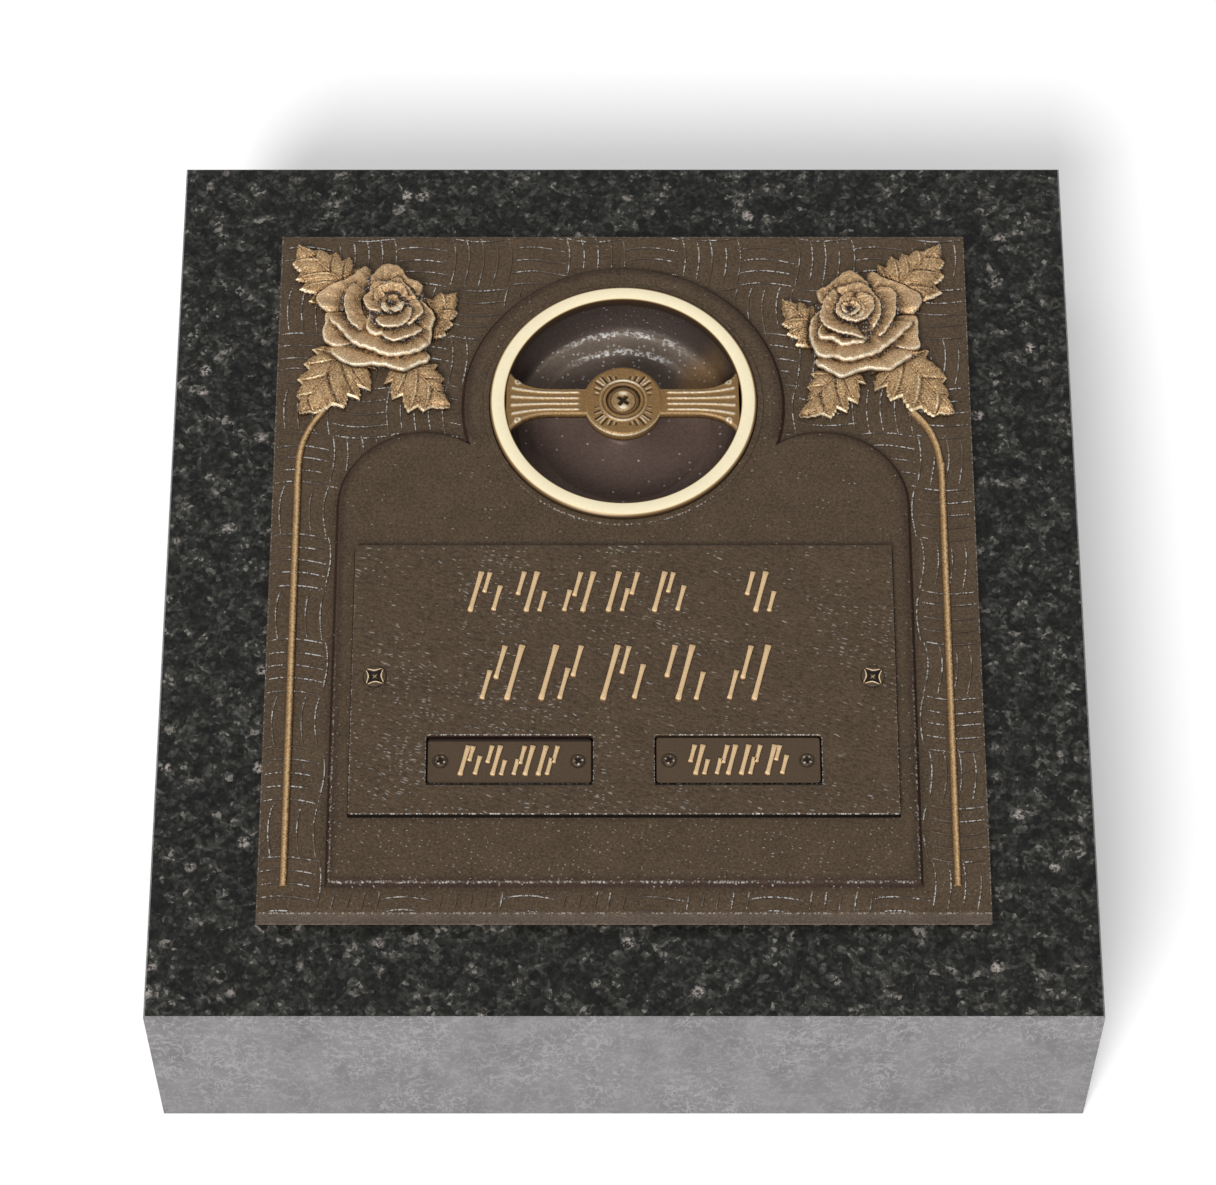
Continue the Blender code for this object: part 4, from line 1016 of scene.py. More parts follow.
def leaf(skin, spec, centre, petals):
    """One toothed leaf with a midrib and side veins, quilted between them."""
    base, tip = (np.array(place) * MM for place in spec[:2])
    length = float(np.linalg.norm(tip - base))
    shares = np.concatenate(([0, .025, .05, .08], np.linspace(.12, .84, 15), [.88, .92, .95, .975, 1.0]))
    for side, teeth in ((1, spec[2]), (-1, spec[3])):
        places = leaf_side(base, tip, teeth, side)
        tangents = np.gradient(np.array([edge for edge, _, _ in places]), axis=0)
        # Painted light falls more on one half of the leaf than on the other
        lit = 0.5 + 0.5 * side * float(tip[1] - base[1]) / length
        rings = []
        for (edge, mid, phase), tangent in zip(places, tangents):
            bend = edge - mid
            span = float(np.linalg.norm(bend))
            t = float(np.linalg.norm(mid - base)) / length
            off_vein = phase - round(phase) if phase > 0.5 else 0.5
            outward = np.array((tangent[1], -tangent[0]))
            outward = outward / max(float(np.linalg.norm(outward)), 1e-9)
            if float(outward @ bend) < 0:
                outward = -outward
            front = max(-float(outward[1]), 0.0)
            normal = np.array((-bend[1], bend[0])) * side * -0.07
            ring = []
            for s in shares:
                place = mid + bend * s + normal * 4 * s * (1 - s)
                from_rib = span * s
                from_vein = off_vein * (0.0045 + 0.0045 * s)
                vein = hill(from_vein + 0.0001, 0.00034) * (1 - s ** 6) * smoothstep(0.0, 0.08, s)
                groove = hill(from_vein - 0.00075, 0.00042) * (1 - s ** 4)
                rib = hill(from_rib, 0.00045) * (1 - 0.6 * t)
                beside = hill(from_rib - 0.0011, 0.0005)
                puff = math.sin(math.pi * min(abs(off_vein), 0.5)) * math.sin(math.pi * min(s, 1.0)) ** 0.7
                lumps = 0.00016 * math.sin(900 * place[0] + 2.1 * phase) * math.sin(1100 * place[1] + 7 * s)
                from_rose = place - np.array(centre)
                angle = math.degrees(math.atan2(from_rose[1], from_rose[0]))
                away = float(np.linalg.norm(from_rose))
                cover = 0.0
                for reach, here in (petal_reach(one, angle) for one in petals):
                    if reach is not None:
                        cover = max(cover, here * smoothstep(reach + 0.0030, reach, away))
                rise = LEAF_LIFT
                if span >= 0.0004:
                    rise += 0.0009 * (1 - s) + 0.0009 * puff + 0.00036 * vein - 0.00030 * groove
                    rise += 0.00050 * rib - 0.00024 * beside - 0.00060 * smoothstep(0.94, 1.0, s)
                    rise += lumps - 0.0012 * s ** 3 + 0.0004 * math.sin(2.6 * phase + 5.0 * s) * s
                # Tone: veins, midrib and cushions bright, grooves beside them dark, as painted light and
                # shade, stronger on the lit half; edges darker, but brighter where they face the front as a
                # painted highlight; patina and painted shade by the petals
                tone = 0.46 + 0.12 * puff + (0.14 + 0.30 * lit) * vein + 0.20 * rib
                tone -= (0.38 - 0.14 * lit) * groove + 0.14 * beside
                tone -= 0.20 * smoothstep(0.55, 0.95, s) * (0.4 + 0.6 * front)
                tone += (0.10 + 0.72 * front) * smoothstep(0.90, 0.97, s)
                ring.append((*place, GROUND + rise * (1 - 0.50 * cover),
                             limited(tone) * recess_patina_and_shade(angle, away, petals)))
            # The leaf's edge wall in painted shade, lighter where it faces the front
            foot = GROUND - EMBED
            ring += [(*edge, GROUND + 0.0022, 0.30 * front), (*edge, GROUND + 0.0010, 0.05)]
            ring += [(*edge, foot, 0.0), (*mid, foot, 0.0)]
            rings.append(ring)
        skin.loft(rings)


def rose(name, centre, petals, bud, material, seed):
    """The petals of a rose, low ones first, with its bud and the floor between the inner ones."""
    chance = np.random.default_rng(seed)
    skin = Skin()
    every = petals + bud
    inner = [spec for spec in every if spec[2] >= INNER_LIFT]

    def floor(radius, angle):
        share = radius / ROSE_REACH
        pit = 1 - smoothstep(0.05, 0.09, share)
        low = smoothstep(0.35, 0.39, share)
        moat = smoothstep(0.10, 0.15, share) * (1 - low)
        # Painted shade in the pit, the moat round the bud and the low ring outside, and patina and painted
        # shade by the inner petals
        tone = 0.42 * (1 - pit) * (1 - 0.8 * max(low, moat))
        tone *= recess_patina_and_shade(math.degrees(angle), radius, inner)
        return GROUND + ROSE_LIFT * (0.80 - 0.16 * pit - 0.18 * moat - 0.38 * low), tone

    skin.polar(centre, np.linspace(0.02, 0.45, 36) * ROSE_REACH, 1.0, floor, GROUND - EMBED, 96)
    for k, spec in enumerate(every):
        petal(skin, centre, spec, [other for other in every[k + 1:] if other[2] >= spec[2]], chance)
    return skin.object(name, material, 50)


def leaves_of(name, centre, petals, leaves, material):
    """All the leaves beside a rose."""
    skin = Skin()
    for spec in leaves:
        leaf(skin, spec, centre, petals)
    return skin.object(name, material, 50)


# Name plate and date plates

def name_plate(material):
    """Plate with rounded edges and two openings for the date plates."""
    block = slab(rectangle_at((0, NAME_Y), NAME_WIDTH, NAME_DEPTH, NAME_CORNER),
                 rounded_steps(NAME_UNDER, NAME_TOP, NAME_EDGE, NAME_DRAFT))
    plate = block.object("name_plate_dressed", material)
    for side, x in DATE_SIDES:
        width = DATE_WIDTH + 2 * DATE_JOINT
        depth = DATE_DEPTH + 2 * DATE_JOINT
        opening = rectangle_at((x, DATE_Y), width, depth, DATE_CORNER)
        cut(plate, "date_opening_" + side, opening, [
            (0.0, NAME_UNDER - CUT_PAST), (0.0, NAME_TOP - 0.0004), (-0.0004, NAME_TOP),
            (-0.0004, NAME_TOP + CUT_PAST),
        ])
    soften(plate.data, PLATE_SOFT_ANGLE)
    return plate


def date_plate(side, x, material):
    """Small plate with two round screw seats."""
    top = NAME_TOP - DATE_SINK[side]
    outline = rectangle_at((x, DATE_Y), DATE_WIDTH - 2 * DATE_TRIM, DATE_DEPTH - 2 * DATE_TRIM, DATE_CORNER)
    block = slab(outline, rounded_steps(NAME_UNDER, top, DATE_EDGE))
    plate = block.object("date_plate_dressed_" + side, material)
    for sx in (-1, 1):
        seat = circle_at((x + sx * DATE_SCREW_X, DATE_Y), DATE_SEAT_RADIUS, 40)
        cut(plate, "date_screw_seat", seat, [
            (0.0, top - 0.0006), (0.0, top - 0.0002), (-0.0002, top), (-0.0002, top + CUT_PAST),
        ])
    soften(plate.data, PLATE_SOFT_ANGLE)
    return plate


def mark_places(left, middle_y, width, height, pattern):
    """Middle and length of the strokes of one mark."""
    return [(left + width * (0.5 + across * 0.8), middle_y + height * up, height * length)
            for across, up, length in MARKS[pattern % len(MARKS)]]


def strokes(name, marks, surface, material, tree):
    """All the strokes of one surface: copies of one with rounded shoulders, its foot below the surface."""
    outline = STROKE_SIDE + [(-x, y) for x, y in reversed(STROKE_SIDE)]
    skin = Skin()
    skin.loft([[(x * share, y * (0.75 + 0.25 * share), z * MM, tone) for x, y in outline]
               for share, z, tone in STROKE_STEPS])
    pattern = skin.object("stroke_pattern", material)
    places = [(x, y, surface) for x, y, _ in marks]
    sizes = [(STROKE_WIDTH + STROKE_WIDENING * length, length, STROKE_RAISE / MM) for _, _, length in marks]
    return copies(name, pattern, places, sizes, [-math.radians(STROKE_LEAN)] * len(marks), tree)


# Screws

def screws(name, places, turns, radius, surface, material, tree):
    """Screw heads of one kind; surface gives height and tone at a place in shares of the radius."""
    def top(share, angle):
        return surface(share * math.cos(angle), share * math.sin(angle), share)

    shares = np.concatenate((np.linspace(0.03, 0.90, 36), np.linspace(0.92, 1.0, 6)))
    skin = Skin()
    skin.polar((0, 0), shares, radius, top, SCREW_FOOT, ROUND_SEGMENTS)
    pattern = skin.object(name + "_pattern", material, 60)
    return copies(name, pattern, places, [(1, 1, 1)] * len(places), turns, tree)


def star_recess(x, y, share):
    """Low head of the name plate's screws: a wide cross recess in painted shade, with rubbed golden edges and
    painted glints along its diagonals.
    """
    across = max(abs(x), abs(y))
    corner = min(abs(x), abs(y)) / max(across, 0.001)
    edge = 0.50 + 0.24 * corner ** 2
    inside = 1 - smoothstep(edge - 0.10, edge, across)
    rim = hill(across - edge - 0.03, 0.055)
    deep = 0.5 * inside + 0.5 * inside * (1 - smoothstep(0.0, 0.4, across))
    diagonal = hill(abs(x) - abs(y), 0.10) * (1 - smoothstep(0.10, 0.30, across))
    height = 0.0014 * (1 - 0.35 * share ** 4 - 0.55 * smoothstep(0.90, 1.0, share))
    height += 0.00018 * rim - 0.0011 * deep + 0.0003 * diagonal
    # Tone: rim rubbed golden, recess in painted shade, painted glints on the diagonals, the rounded edge in
    # painted shade
    tone = 0.42 + 0.58 * rim - 0.42 * inside + 0.7 * diagonal * inside
    return height, limited(tone - 0.30 * smoothstep(0.88, 0.97, share))


def small_cross(x, y, share):
    """Small round head of the date plates' screws, with painted shade in its cross and at its edge and painted
    glints at its corners, brighter at the front.
    """
    across = max(abs(x), abs(y))
    slot = (1 - smoothstep(0.10, 0.20, min(abs(x), abs(y)))) * (1 - smoothstep(0.45, 0.60, across))
    corners = math.exp(-((abs(x) - 0.42) ** 2 + (abs(y) - 0.42) ** 2) / 0.02)
    height = 0.0009 * (1 - 0.5 * share ** 3 - 0.5 * smoothstep(0.85, 1.0, share)) - 0.0006 * slot
    tone = 0.40 - 0.4 * slot + 0.6 * corners * (0.6 + 0.4 * (y < 0)) - 0.25 * smoothstep(0.85, 1.0, share)
    return height, limited(tone)


def handle_cross(x, y, share):
    """Domed head of the handle's screw, with painted highlights at its front and back and painted shade in its
    cross and at its edge.
    """
    turn = math.radians(38)
    u = abs(x * math.cos(turn) - y * math.sin(turn))
    v = abs(x * math.sin(turn) + y * math.cos(turn))
    slot = (1 - smoothstep(0.10, 0.19, min(u, v))) * (1 - smoothstep(0.42, 0.58, max(u, v)))
    # Painted highlight at the front and back of the dome
    shine = hill(x, 0.35) * hill(abs(y) - 0.62, 0.20)
    height = 0.0012 * (1 - 0.6 * share ** 2.5 - 0.4 * smoothstep(0.88, 1.0, share)) - 0.0009 * slot
    tone = 0.52 - 0.52 * slot + 0.55 * shine - 0.35 * smoothstep(0.88, 1.0, share)
    return height, limited(tone)


# Vase

def vase_ring(material):
    """Polished ring with softly rounded edges."""
    r = RING_EDGE
    inner = RING_INNER
    outer = RING_RADIUS
    top = RING_TOP
    skin = Skin()
    # Tone: 1 on the polished top, falling down the sides as painted shade
    skin.turned([
        (inner, RING_UNDER - 0.0010, 0.0),
        (inner, top - r, 0.05),
        (inner + 0.3 * r, top - 0.3 * r, 0.35),
        (inner + r, top, 1.0),
        (0.5 * (inner + outer), top + 0.00004, 1.0),
        (outer - 1.6 * r, top, 1.0),
        (outer - 0.8 * r, top - 0.3 * r, 0.45),
        (outer, top - 1.2 * r, 0.15),
        (outer, RING_UNDER, 0.0),
        (DISH_OUTER, RING_UNDER, 0.0),
        (DISH_OUTER, RING_UNDER - 0.0010, 0.0),
    ], 192)
    return skin.object("vase_ring", material, 35)


def vase_dish(material):
    """Dish with a beaded ledge, a lower step, a flat floor and the centre post."""
    skin = Skin()
    skin.turned([
        (RING_INNER + 0.0004, RING_UNDER - 0.0004, 0.0),
        (RING_INNER + 0.0002, RING_UNDER - 0.0060, 0.0),
        (RING_INNER - 0.0010, LEDGE_Z + 0.0110, 0.0),
        (LEDGE_RADIUS + 0.0034, LEDGE_Z + 0.0042, 0.1),
        (LEDGE_RADIUS + 0.0018, LEDGE_Z + 0.0016, 0.2),
        (LEDGE_RADIUS + 0.0010, LEDGE_Z + 0.0012, 0.7),
        (LEDGE_RADIUS, LEDGE_Z + 0.0014, 1.0),
        (LEDGE_RADIUS - 0.0012, LEDGE_Z + 0.0010, 0.9),
        (LEDGE_RADIUS - 0.0022, LEDGE_Z + 0.0003, 0.4),
        (LEDGE_RADIUS - 0.0050, LEDGE_Z - 0.0002, 0.3),
        (FLOOR_RADIUS + 0.0024, LEDGE_Z - 0.0007, 0.4),
        (FLOOR_RADIUS + 0.0012, LEDGE_Z - 0.0004, 0.9),
        (FLOOR_RADIUS, LEDGE_Z - 0.0005, 1.0),
        (FLOOR_RADIUS - 0.0012, LEDGE_Z - 0.0012, 0.8),
        (FLOOR_RADIUS - 0.0022, DISH_FLOOR, 0.2),
        (FLOOR_RADIUS - 0.0100, DISH_FLOOR - 0.0001, 0.0),
        (POST_RADIUS + 0.0020, DISH_FLOOR, 0.0),
        (POST_RADIUS, DISH_FLOOR + 0.0020, 0.0),
        (POST_RADIUS, POST_TOP, 0.0),
        (0.0, POST_TOP, 0.0),
        (0.0, DISH_UNDER, 0.0),
        (LEDGE_RADIUS + 0.0016, DISH_UNDER, 0.0),
        (DISH_OUTER, RING_UNDER - 0.0090, 0.0),
        (DISH_OUTER, RING_UNDER - 0.0004, 0.0),
    ], 160)
    return skin.object("vase_dish", material, 60)


def hub_surface(radius, angle):
    """Height and tone at a place on the hub."""
    r = radius / MM
    if r < 8.6:
        return HUB_TOP - 0.0014 * (1 - max(0.0, (r - 8.0) / 0.6)), 0.30 if r < 8.0 else 0.0
    if r < 10.4:
        return (HUB_TOP - 0.0001, 0.50) if r < 9.9 else (HUB_TOP - 0.0004, 0.10)
    # Tone: the crest ring brighter at its front and back and the outer rim brighter towards the front, as
    # painted highlights; dark grooves with a bright bar beside each, as painted shade and highlight
    crest = hill(r - 11.3, 0.70)
    if r < 12.5:
        return HUB_TOP - 0.0006 + 0.0006 * crest, 0.30 + (0.35 + 0.45 * abs(math.sin(angle)) ** 3) * crest
    height = HUB_TOP - 0.0006
    tone = 0.40
    if r < 18.2:
        turn = math.degrees(angle) % 90 - 45
        for offset, end, depth in HUB_GROOVES:
            aside = math.radians(turn - offset) * r
            here = depth * (1 - smoothstep(end - 0.3, end + 0.3, r))
            bar = hill(aside, 0.50) * here
            height -= 0.0007 * bar
            tone += 0.60 * hill(aside + math.copysign(0.95, offset), 0.42) * here - 0.60 * bar
    rim = smoothstep(18.0, 19.5, r)
    return height - 0.0011 * rim ** 1.5, limited(tone + (0.27 - 0.17 * math.sin(angle)) * rim)


def arm_point(share, v):
    """Place, height and tone on an arm's top: share runs outwards, v from -1 to 1 across."""
    flare = max(0.0, (share - 0.42) / 0.58)
    half = ARM_HALF + (ARM_END_HALF - ARM_HALF) * flare ** 2.6
    y = v * half
    x = ARM_ROOT + (ARM_REACH - ARM_ROOT) * share
    x -= (ARM_REACH - math.sqrt(ARM_REACH ** 2 - y ** 2)) * share ** 3
    place = y / (ARM_HALF + (ARM_END_HALF - ARM_HALF) * 0.55 * flare ** 2.0)
    rib = max(hill((place - k) * ARM_HALF, 0.00062) for k in (-0.66, -0.22, 0.22, 0.66))
    rib *= smoothstep(0.10, 0.16, share) * (1 - smoothstep(0.92, 0.96, share))
    curl = max(hill(math.hypot(x - (ARM_REACH - 0.0062), y - k * 0.0112) - 0.0012, 0.0006) for k in (-1, 1))
    curl *= smoothstep(0.6, 0.8, share)
    rise = 0.00055 * rib + 0.0004 * curl - 0.0009 * smoothstep(0.86, 1.0, abs(v)) ** 2 - 0.0002
    # Tone: ribs and curls bright, the arm brighter near its sides and dark at the very side, as painted
    # highlights and painted shade
    tone = 0.38 + 0.62 * max(rib, 0.8 * curl) + 0.25 * smoothstep(0.80, 0.92, abs(v))
    return x, VASE_Y + y, ARM_TOP + rise, min(tone, 1.0) - 0.3 * smoothstep(0.94, 1.0, abs(v))


def vase_handle(material):
    """Cross bar: round hub with grooves, and two ribbed arms that flare to the ring."""
    skin = Skin()
    radii = np.concatenate((np.linspace(0.001, 0.0080, 6), np.arange(0.0082, 0.0196, 0.00026), [HUB_RADIUS]))
    skin.polar((0, VASE_Y), radii, HUB_SPREAD, hub_surface, HUB_UNDER, 288)
    columns = 90
    rows = 72
    for side in (-1, 1):
        rings = []
        for i in range(columns + 1):
            ring = [arm_point(i / columns, -1 + 2 * j / rows) for j in range(rows + 1)]
            ring += [(x, y, ARM_UNDER, 0.0) for x, y, _, _ in (ring[-1], ring[0])]
            rings.append([(side * x, y, z, tone) for x, y, z, tone in ring])
        skin.loft(rings)
    return skin.object("vase_handle_dressed", material, 50)


# Materials

def cast_grain_group():
    """Sand-cast surface: grain and cloudiness of a colour, and a height for bump."""
    g, given, result = new_group("cast_grain", "ShaderNodeTree", {
        "Color": "Color", "Grain Scale": "Float", "Contrast": "Float",
    }, {"Color": "Color", "Height": "Float"})
    place = g.middle()
    fine = g.noise(place, given["Grain Scale"], 2.0, 0.6)
    both = (fine - 0.5) * 3.2 + (g.noise(place, 60.0, 3.0) - 0.5) * 0.9
    share = (both * given["Contrast"] + 1.0).most(0.05)
    g.put(g.mix(1.0, given["Color"], share, "MULTIPLY"), result["Color"])
    g.put(fine, result["Height"])


def glint_group():
    """Small glints: a dot in some of the cells of a flat grid, as long and wide as the cells make it."""
    g, given, result = new_group("small_glints", "ShaderNodeTree", {
        "Cells": "Vector", "Share": "Float", "Size": "Float",
    }, {"Glint": "Float"})
    cells = g.crystals(given["Cells"], 1.0, dimensions="2D")
    chosen = cells["Color"].channel("Red").math("LESS_THAN", given["Share"])
    dot = cells.share(given["Size"], given["Size"] * 0.7)
    bright = cells["Color"].channel("Green") * 0.6 + 0.4
    g.put((chosen * dot).math("MULTIPLY", bright, limit=True), result["Glint"])


def height_band_group():
    """1 between two heights, 0 elsewhere, with soft limits."""
    g, given, result = new_group("height_band", "ShaderNodeTree", {"Low": "Float", "High": "Float"},
                                 {"Band": "Float"})
    height = g.axis("Z")
    over = (height - given["Low"]).math("DIVIDE", BAND_SOFTNESS, limit=True)
    under = (given["High"] - height).math("DIVIDE", BAND_SOFTNESS, limit=True)
    g.put(over * under, result["Band"])


class Finish(Graph):
    """Material with one shader."""

    def __init__(self, name, roughness, metallic, specular):
        self.material = bpy.data.materials.new(name)
        self.material.use_nodes = True
        super().__init__(self.material.node_tree)
        self.shader = self.tree.nodes["Principled BSDF"].inputs
        self.shader["Roughness"].default_value = roughness
        self.shader["Metallic"].default_value = metallic
        self.shader["Specular IOR Level"].default_value = specular

    def done(self, colour, height=None, distance=0.0, strength=1.0):
        """Give the shader its colour, and let a height shape its normal."""
        self.put(colour, self.shader["Base Color"])
        if height is not None:
            values = {"Height": height, "Distance": distance, "Strength": strength}
            self.put(self.node("ShaderNodeBump", values), self.shader["Normal"])
        return self.material


def plaque_bronze():
    """Oxidised bronze of the plaque: brushed sides, painted shade on the panel's walls and on the ground along
    its foot, rubbed edges, small painted glints.
    """
    g = Finish("plaque_bronze", 0.5, 0.25, 0.25)
    colour = g.by_height([
        (PLAQUE_UNDER, 158, 134, 112),
        (PLAQUE_UNDER + 0.0007, 140, 122, 106),
        (PLAQUE_UNDER + 0.0010, *BRUSHED_SIDE),
        (GROUND - 0.0009, *BRUSHED_SIDE),
        (GROUND - 0.0004, *BRONZE_EDGE),
        (GROUND - 0.00003, *BRONZE),
        (GROUND + 0.00006, *BRONZE),
        # Painted shade: the panel's sloping wall is darker, and further up the collar's side too
        (GROUND + 0.0003, *PAINTED_WALL_SHADE),
        (PANEL_TOP - 0.0009, *PAINTED_WALL_SHADE),
        (PANEL_TOP - 0.0003, *BRONZE_EDGE),
        (PANEL_TOP - 0.00003, *BRONZE),
        (PANEL_TOP + 0.0002, 70, 57, 46),
        (COLLAR_TOP - 0.0001, *BRONZE),
        (COLLAR_TOP, *BRONZE),
    ])
    on_top = g.band(GROUND - BAND_IN, HIGH_ABOVE)
    x = abs(g.axis("X"))
    y = g.axis("Y")
    # Painted shade: a soft dark reddish band on the ground along the foot of the panel, by the distance to the
    # panel's outline
    aside = (x - SHOULDER_X).most(0.0)
    body = (g.length(aside, (y - SHOULDER_Y).most(0.0)) - SHOULDER_RADIUS).most(PANEL_FRONT - y)
    off_panel = body.math("MINIMUM", g.length(x, y - VASE_Y) - ARCH_RADIUS)
    rim = abs(off_panel + 0.0008).between(0.0064, 0.0008) * on_top
    base = g.grain(g.mix(rim * 0.62, colour, (56, 40, 33)), 800.0, 0.55)
    # Painted highlights: dotted glints along the edges of the panel, the plaque and the collar, and sparse
    # glints on the top
    panel_edge = g.dotted(PANEL_TOP - 0.0009, PANEL_TOP - BAND_IN, 0.0013) * y.between(-0.02, -0.13)
    outer_edge = g.dotted(GROUND - 0.0008, GROUND - BAND_IN, 0.0013)
    by_vase = y.between(VASE_Y - 0.040, VASE_Y - 0.058)
    collar_edge = g.dotted(PANEL_TOP + 0.0002, COLLAR_TOP - BAND_IN, 0.0012) * by_vase
    share = y.between(0.02, -0.17) * 0.15 + 0.03
    sparse = g.glints(g.uneven_cells((0.0030, 0.0014, 1), GRAIN_SLANT), share, 0.17) * on_top
    colour = g.mix(sparse.most(panel_edge, outer_edge, collar_edge), base, PAINTED_GLINT)
    return g.done(colour, base["Height"], 0.00020, 0.7)


def ridge_bronze():
    """Weave ridges: painted shade on the side that faces front and right, painted broken silvery glints on the
    back side and crest.
    """
    g = Finish("weave_ridge_bronze", 0.45, 0.3, 0.3)
    base = g.grain((96, 81, 66), 950.0, 0.35)
    normal = g.normal()
    # Painted shade on the front-right side; painted glints on the back side and crest
    shaded = normal.vector("DOT_PRODUCT", (0.55, -0.83, 0.0), "Value").between(0.14, 0.42)
    crest = normal.part("Z").between(0.88, 0.96) * 0.8
    lit = normal.part("Y").between(0.02, 0.22).most(crest)
    place = g.middle()
    areas = g.noise(place, 40.0, 2.0).between(0.36, 0.52)
    broken = g.noise(place, 900.0, 1.0).between(0.46, 0.52)
    long_runs = g.noise(place, 130.0, 1.0).between(0.40, 0.48)
    colour = g.mix(areas * long_runs * broken * lit, g.mix(shaded, base, (44, 33, 26)), (222, 220, 216))
    return g.done(colour, base["Height"], 0.0002, 0.6)


def leather_bronze():
    """Name plate: leather-like grain that slants down to the right, with painted glints in short dashes,
    painted shade on its sides, its front wall and in front of the date openings, and painted glints on its
    front edge.
    """
    g = Finish("leather_grain_bronze", 0.48, 0.25, 0.25)
    # Painted shade: the plate's sides are darker towards the foot
    colour = g.by_height([
        (NAME_UNDER - 0.0001, 58, 45, 37),
        (NAME_TOP - 0.0012, 66, 52, 42),
        (NAME_TOP - 0.0005, 74, 60, 49),
        (NAME_TOP - 0.0002, *BRONZE_EDGE),
        (NAME_TOP - 0.00003, *BRONZE),
        (NAME_TOP + 0.0005, *BRONZE),
    ])
    x = g.axis("X")
    y = g.axis("Y")
    folds = g.noise(g.cells((0.0036, 0.0016, 0.003), GRAIN_SLANT), 1.0, 3.0, 0.6)
    base = g.grain(g.mix(folds.between(0.52, 0.34) * 0.55, colour, (66, 52, 41)), 900.0, 0.45)
    # Painted highlights: glints in short slanted dashes, more of them at the front and the left
    areas = g.noise(g.middle(), 26.0, 3.0).between(0.44, 0.70)
    share = (areas + y.between(0.02, -0.13) * 0.22 + x.between(-0.06, -0.13) * 0.30) * 0.24
    long = g.glints(g.uneven_cells((0.0060, 0.0016, 1), GRAIN_SLANT), share, 0.23)
    short = g.glints(g.uneven_cells((0.0032, 0.0013, 1), GRAIN_SLANT + 0.14), share, 0.24)
    # Painted shade along the front wall, and a dark strip in front of each date opening that widens the
    # shadowed joint
    front = NAME_Y - NAME_DEPTH / 2
    under = g.band(0.0, NAME_TOP - 0.0005) * y.between(front + 0.0012, front + 0.0006)
    off_x = abs(abs(x) - DATE_X) - (DATE_WIDTH / 2 + 0.0004)
    off_y = abs(y + (0.0010 + DATE_DEPTH / 2 - DATE_Y)) - 0.0006
    joint_shade = off_x.most(off_y).between(0.0001, -0.0001)
    shown = long.most(short) * (g.band(NAME_TOP - BAND_IN, HIGH_ABOVE) * (1.0 - joint_shade))
    edge = g.dotted(NAME_TOP - 0.0006, NAME_TOP - BAND_IN, 0.0011, 0.7) * y.between(0.0, -0.13)
    shade = g.mix(under.most(joint_shade), base, (24, 20, 18))
    return g.done(g.mix(shown.most(edge), shade, (212, 209, 204)), folds, 0.0008, 0.9)


def date_bronze():
    """Date plates: smooth dark bronze, with painted shade on their sides and a painted shadow along the back
    edge of the left plate.
    """
    g = Finish("date_plate_bronze", 0.5, 0.25, 0.25)
    # Painted shade on the sides, below the top of the lower plate
    side = g.band(0.0, NAME_TOP - DATE_SINK["left"] - 0.0009)
    base = g.grain(BRONZE, 1100.0, 0.22)
    # Painted shadow along the back edge of the left plate
    back_edge = DATE_Y + DATE_DEPTH / 2
    back = g.axis("Y").between(back_edge - 0.0026, back_edge - 0.0016) * g.axis("X").math("LESS_THAN", 0.0)
    colour = g.mix(side, g.mix(back, base, (46, 33, 28)), (26, 22, 20))
    return g.done(colour, base["Height"], 0.00015, 0.6)


def gold_relief(name, stops, grain=1500.0, contrast=0.32, metallic=0.35, roughness=0.42,
                glints=0.0, recess_glints=0.0, raggedness=0.40, grit=850.0):
    """Golden cast bronze whose recesses stay dark with patina and painted shade and whose rubbed edges are
    bright with painted highlights.
    """
    g = Finish(name, roughness, metallic, 0.35)
    tone = g.tone()
    place = g.middle()
    ragged = g.noise(place, grit, 3.0, 0.65) - 0.5
    base = g.grain(g.ramp(tone + ragged * raggedness, stops), grain, contrast)
    result = base
    if glints:
        broken = g.noise(place, 520.0, 1.0).between(0.42, 0.54)
        result = g.mix(tone.between(0.72, 0.90) * broken * glints, result, WARM_PAINTED_GLINT)
    # Painted glints that sparkle in the dark recesses
    if recess_glints:
        dots = g.glints(g.cells((0.0012, 0.0012, 1)), 0.42, 0.42)
        result = g.mix(tone.between(0.26, 0.10) * dots * recess_glints, result, (184, 188, 194))
    return g.done(result, base["Height"] + ragged, 0.00028, 0.9)


def stem_bronze():
    """Stems: gritty gold with painted light on one flank and painted shade on the other."""
    g = Finish("stem_gold_bronze", 0.42, 0.35, 0.35)
    # Painted light and shade by the way the surface faces: brightest on the crest, darkest facing right
    flank = g.normal().vector("DOT_PRODUCT", (0.95, -0.3, 0.0), "Value")
    moved = flank + (g.noise(g.middle(), 1100.0, 3.0, 0.7) - 0.5) * 1.8
    base = g.grain(g.ramp(moved * 0.5 + 0.5, [
        (0.10, 120, 90, 58), (0.38, 176, 142, 98), (0.56, 226, 194, 146), (0.78, 150, 114, 72),
        (0.95, 84, 60, 40),
    ]), 1500.0, 0.3)
    return g.done(base, base["Height"], 0.0002, 0.8)


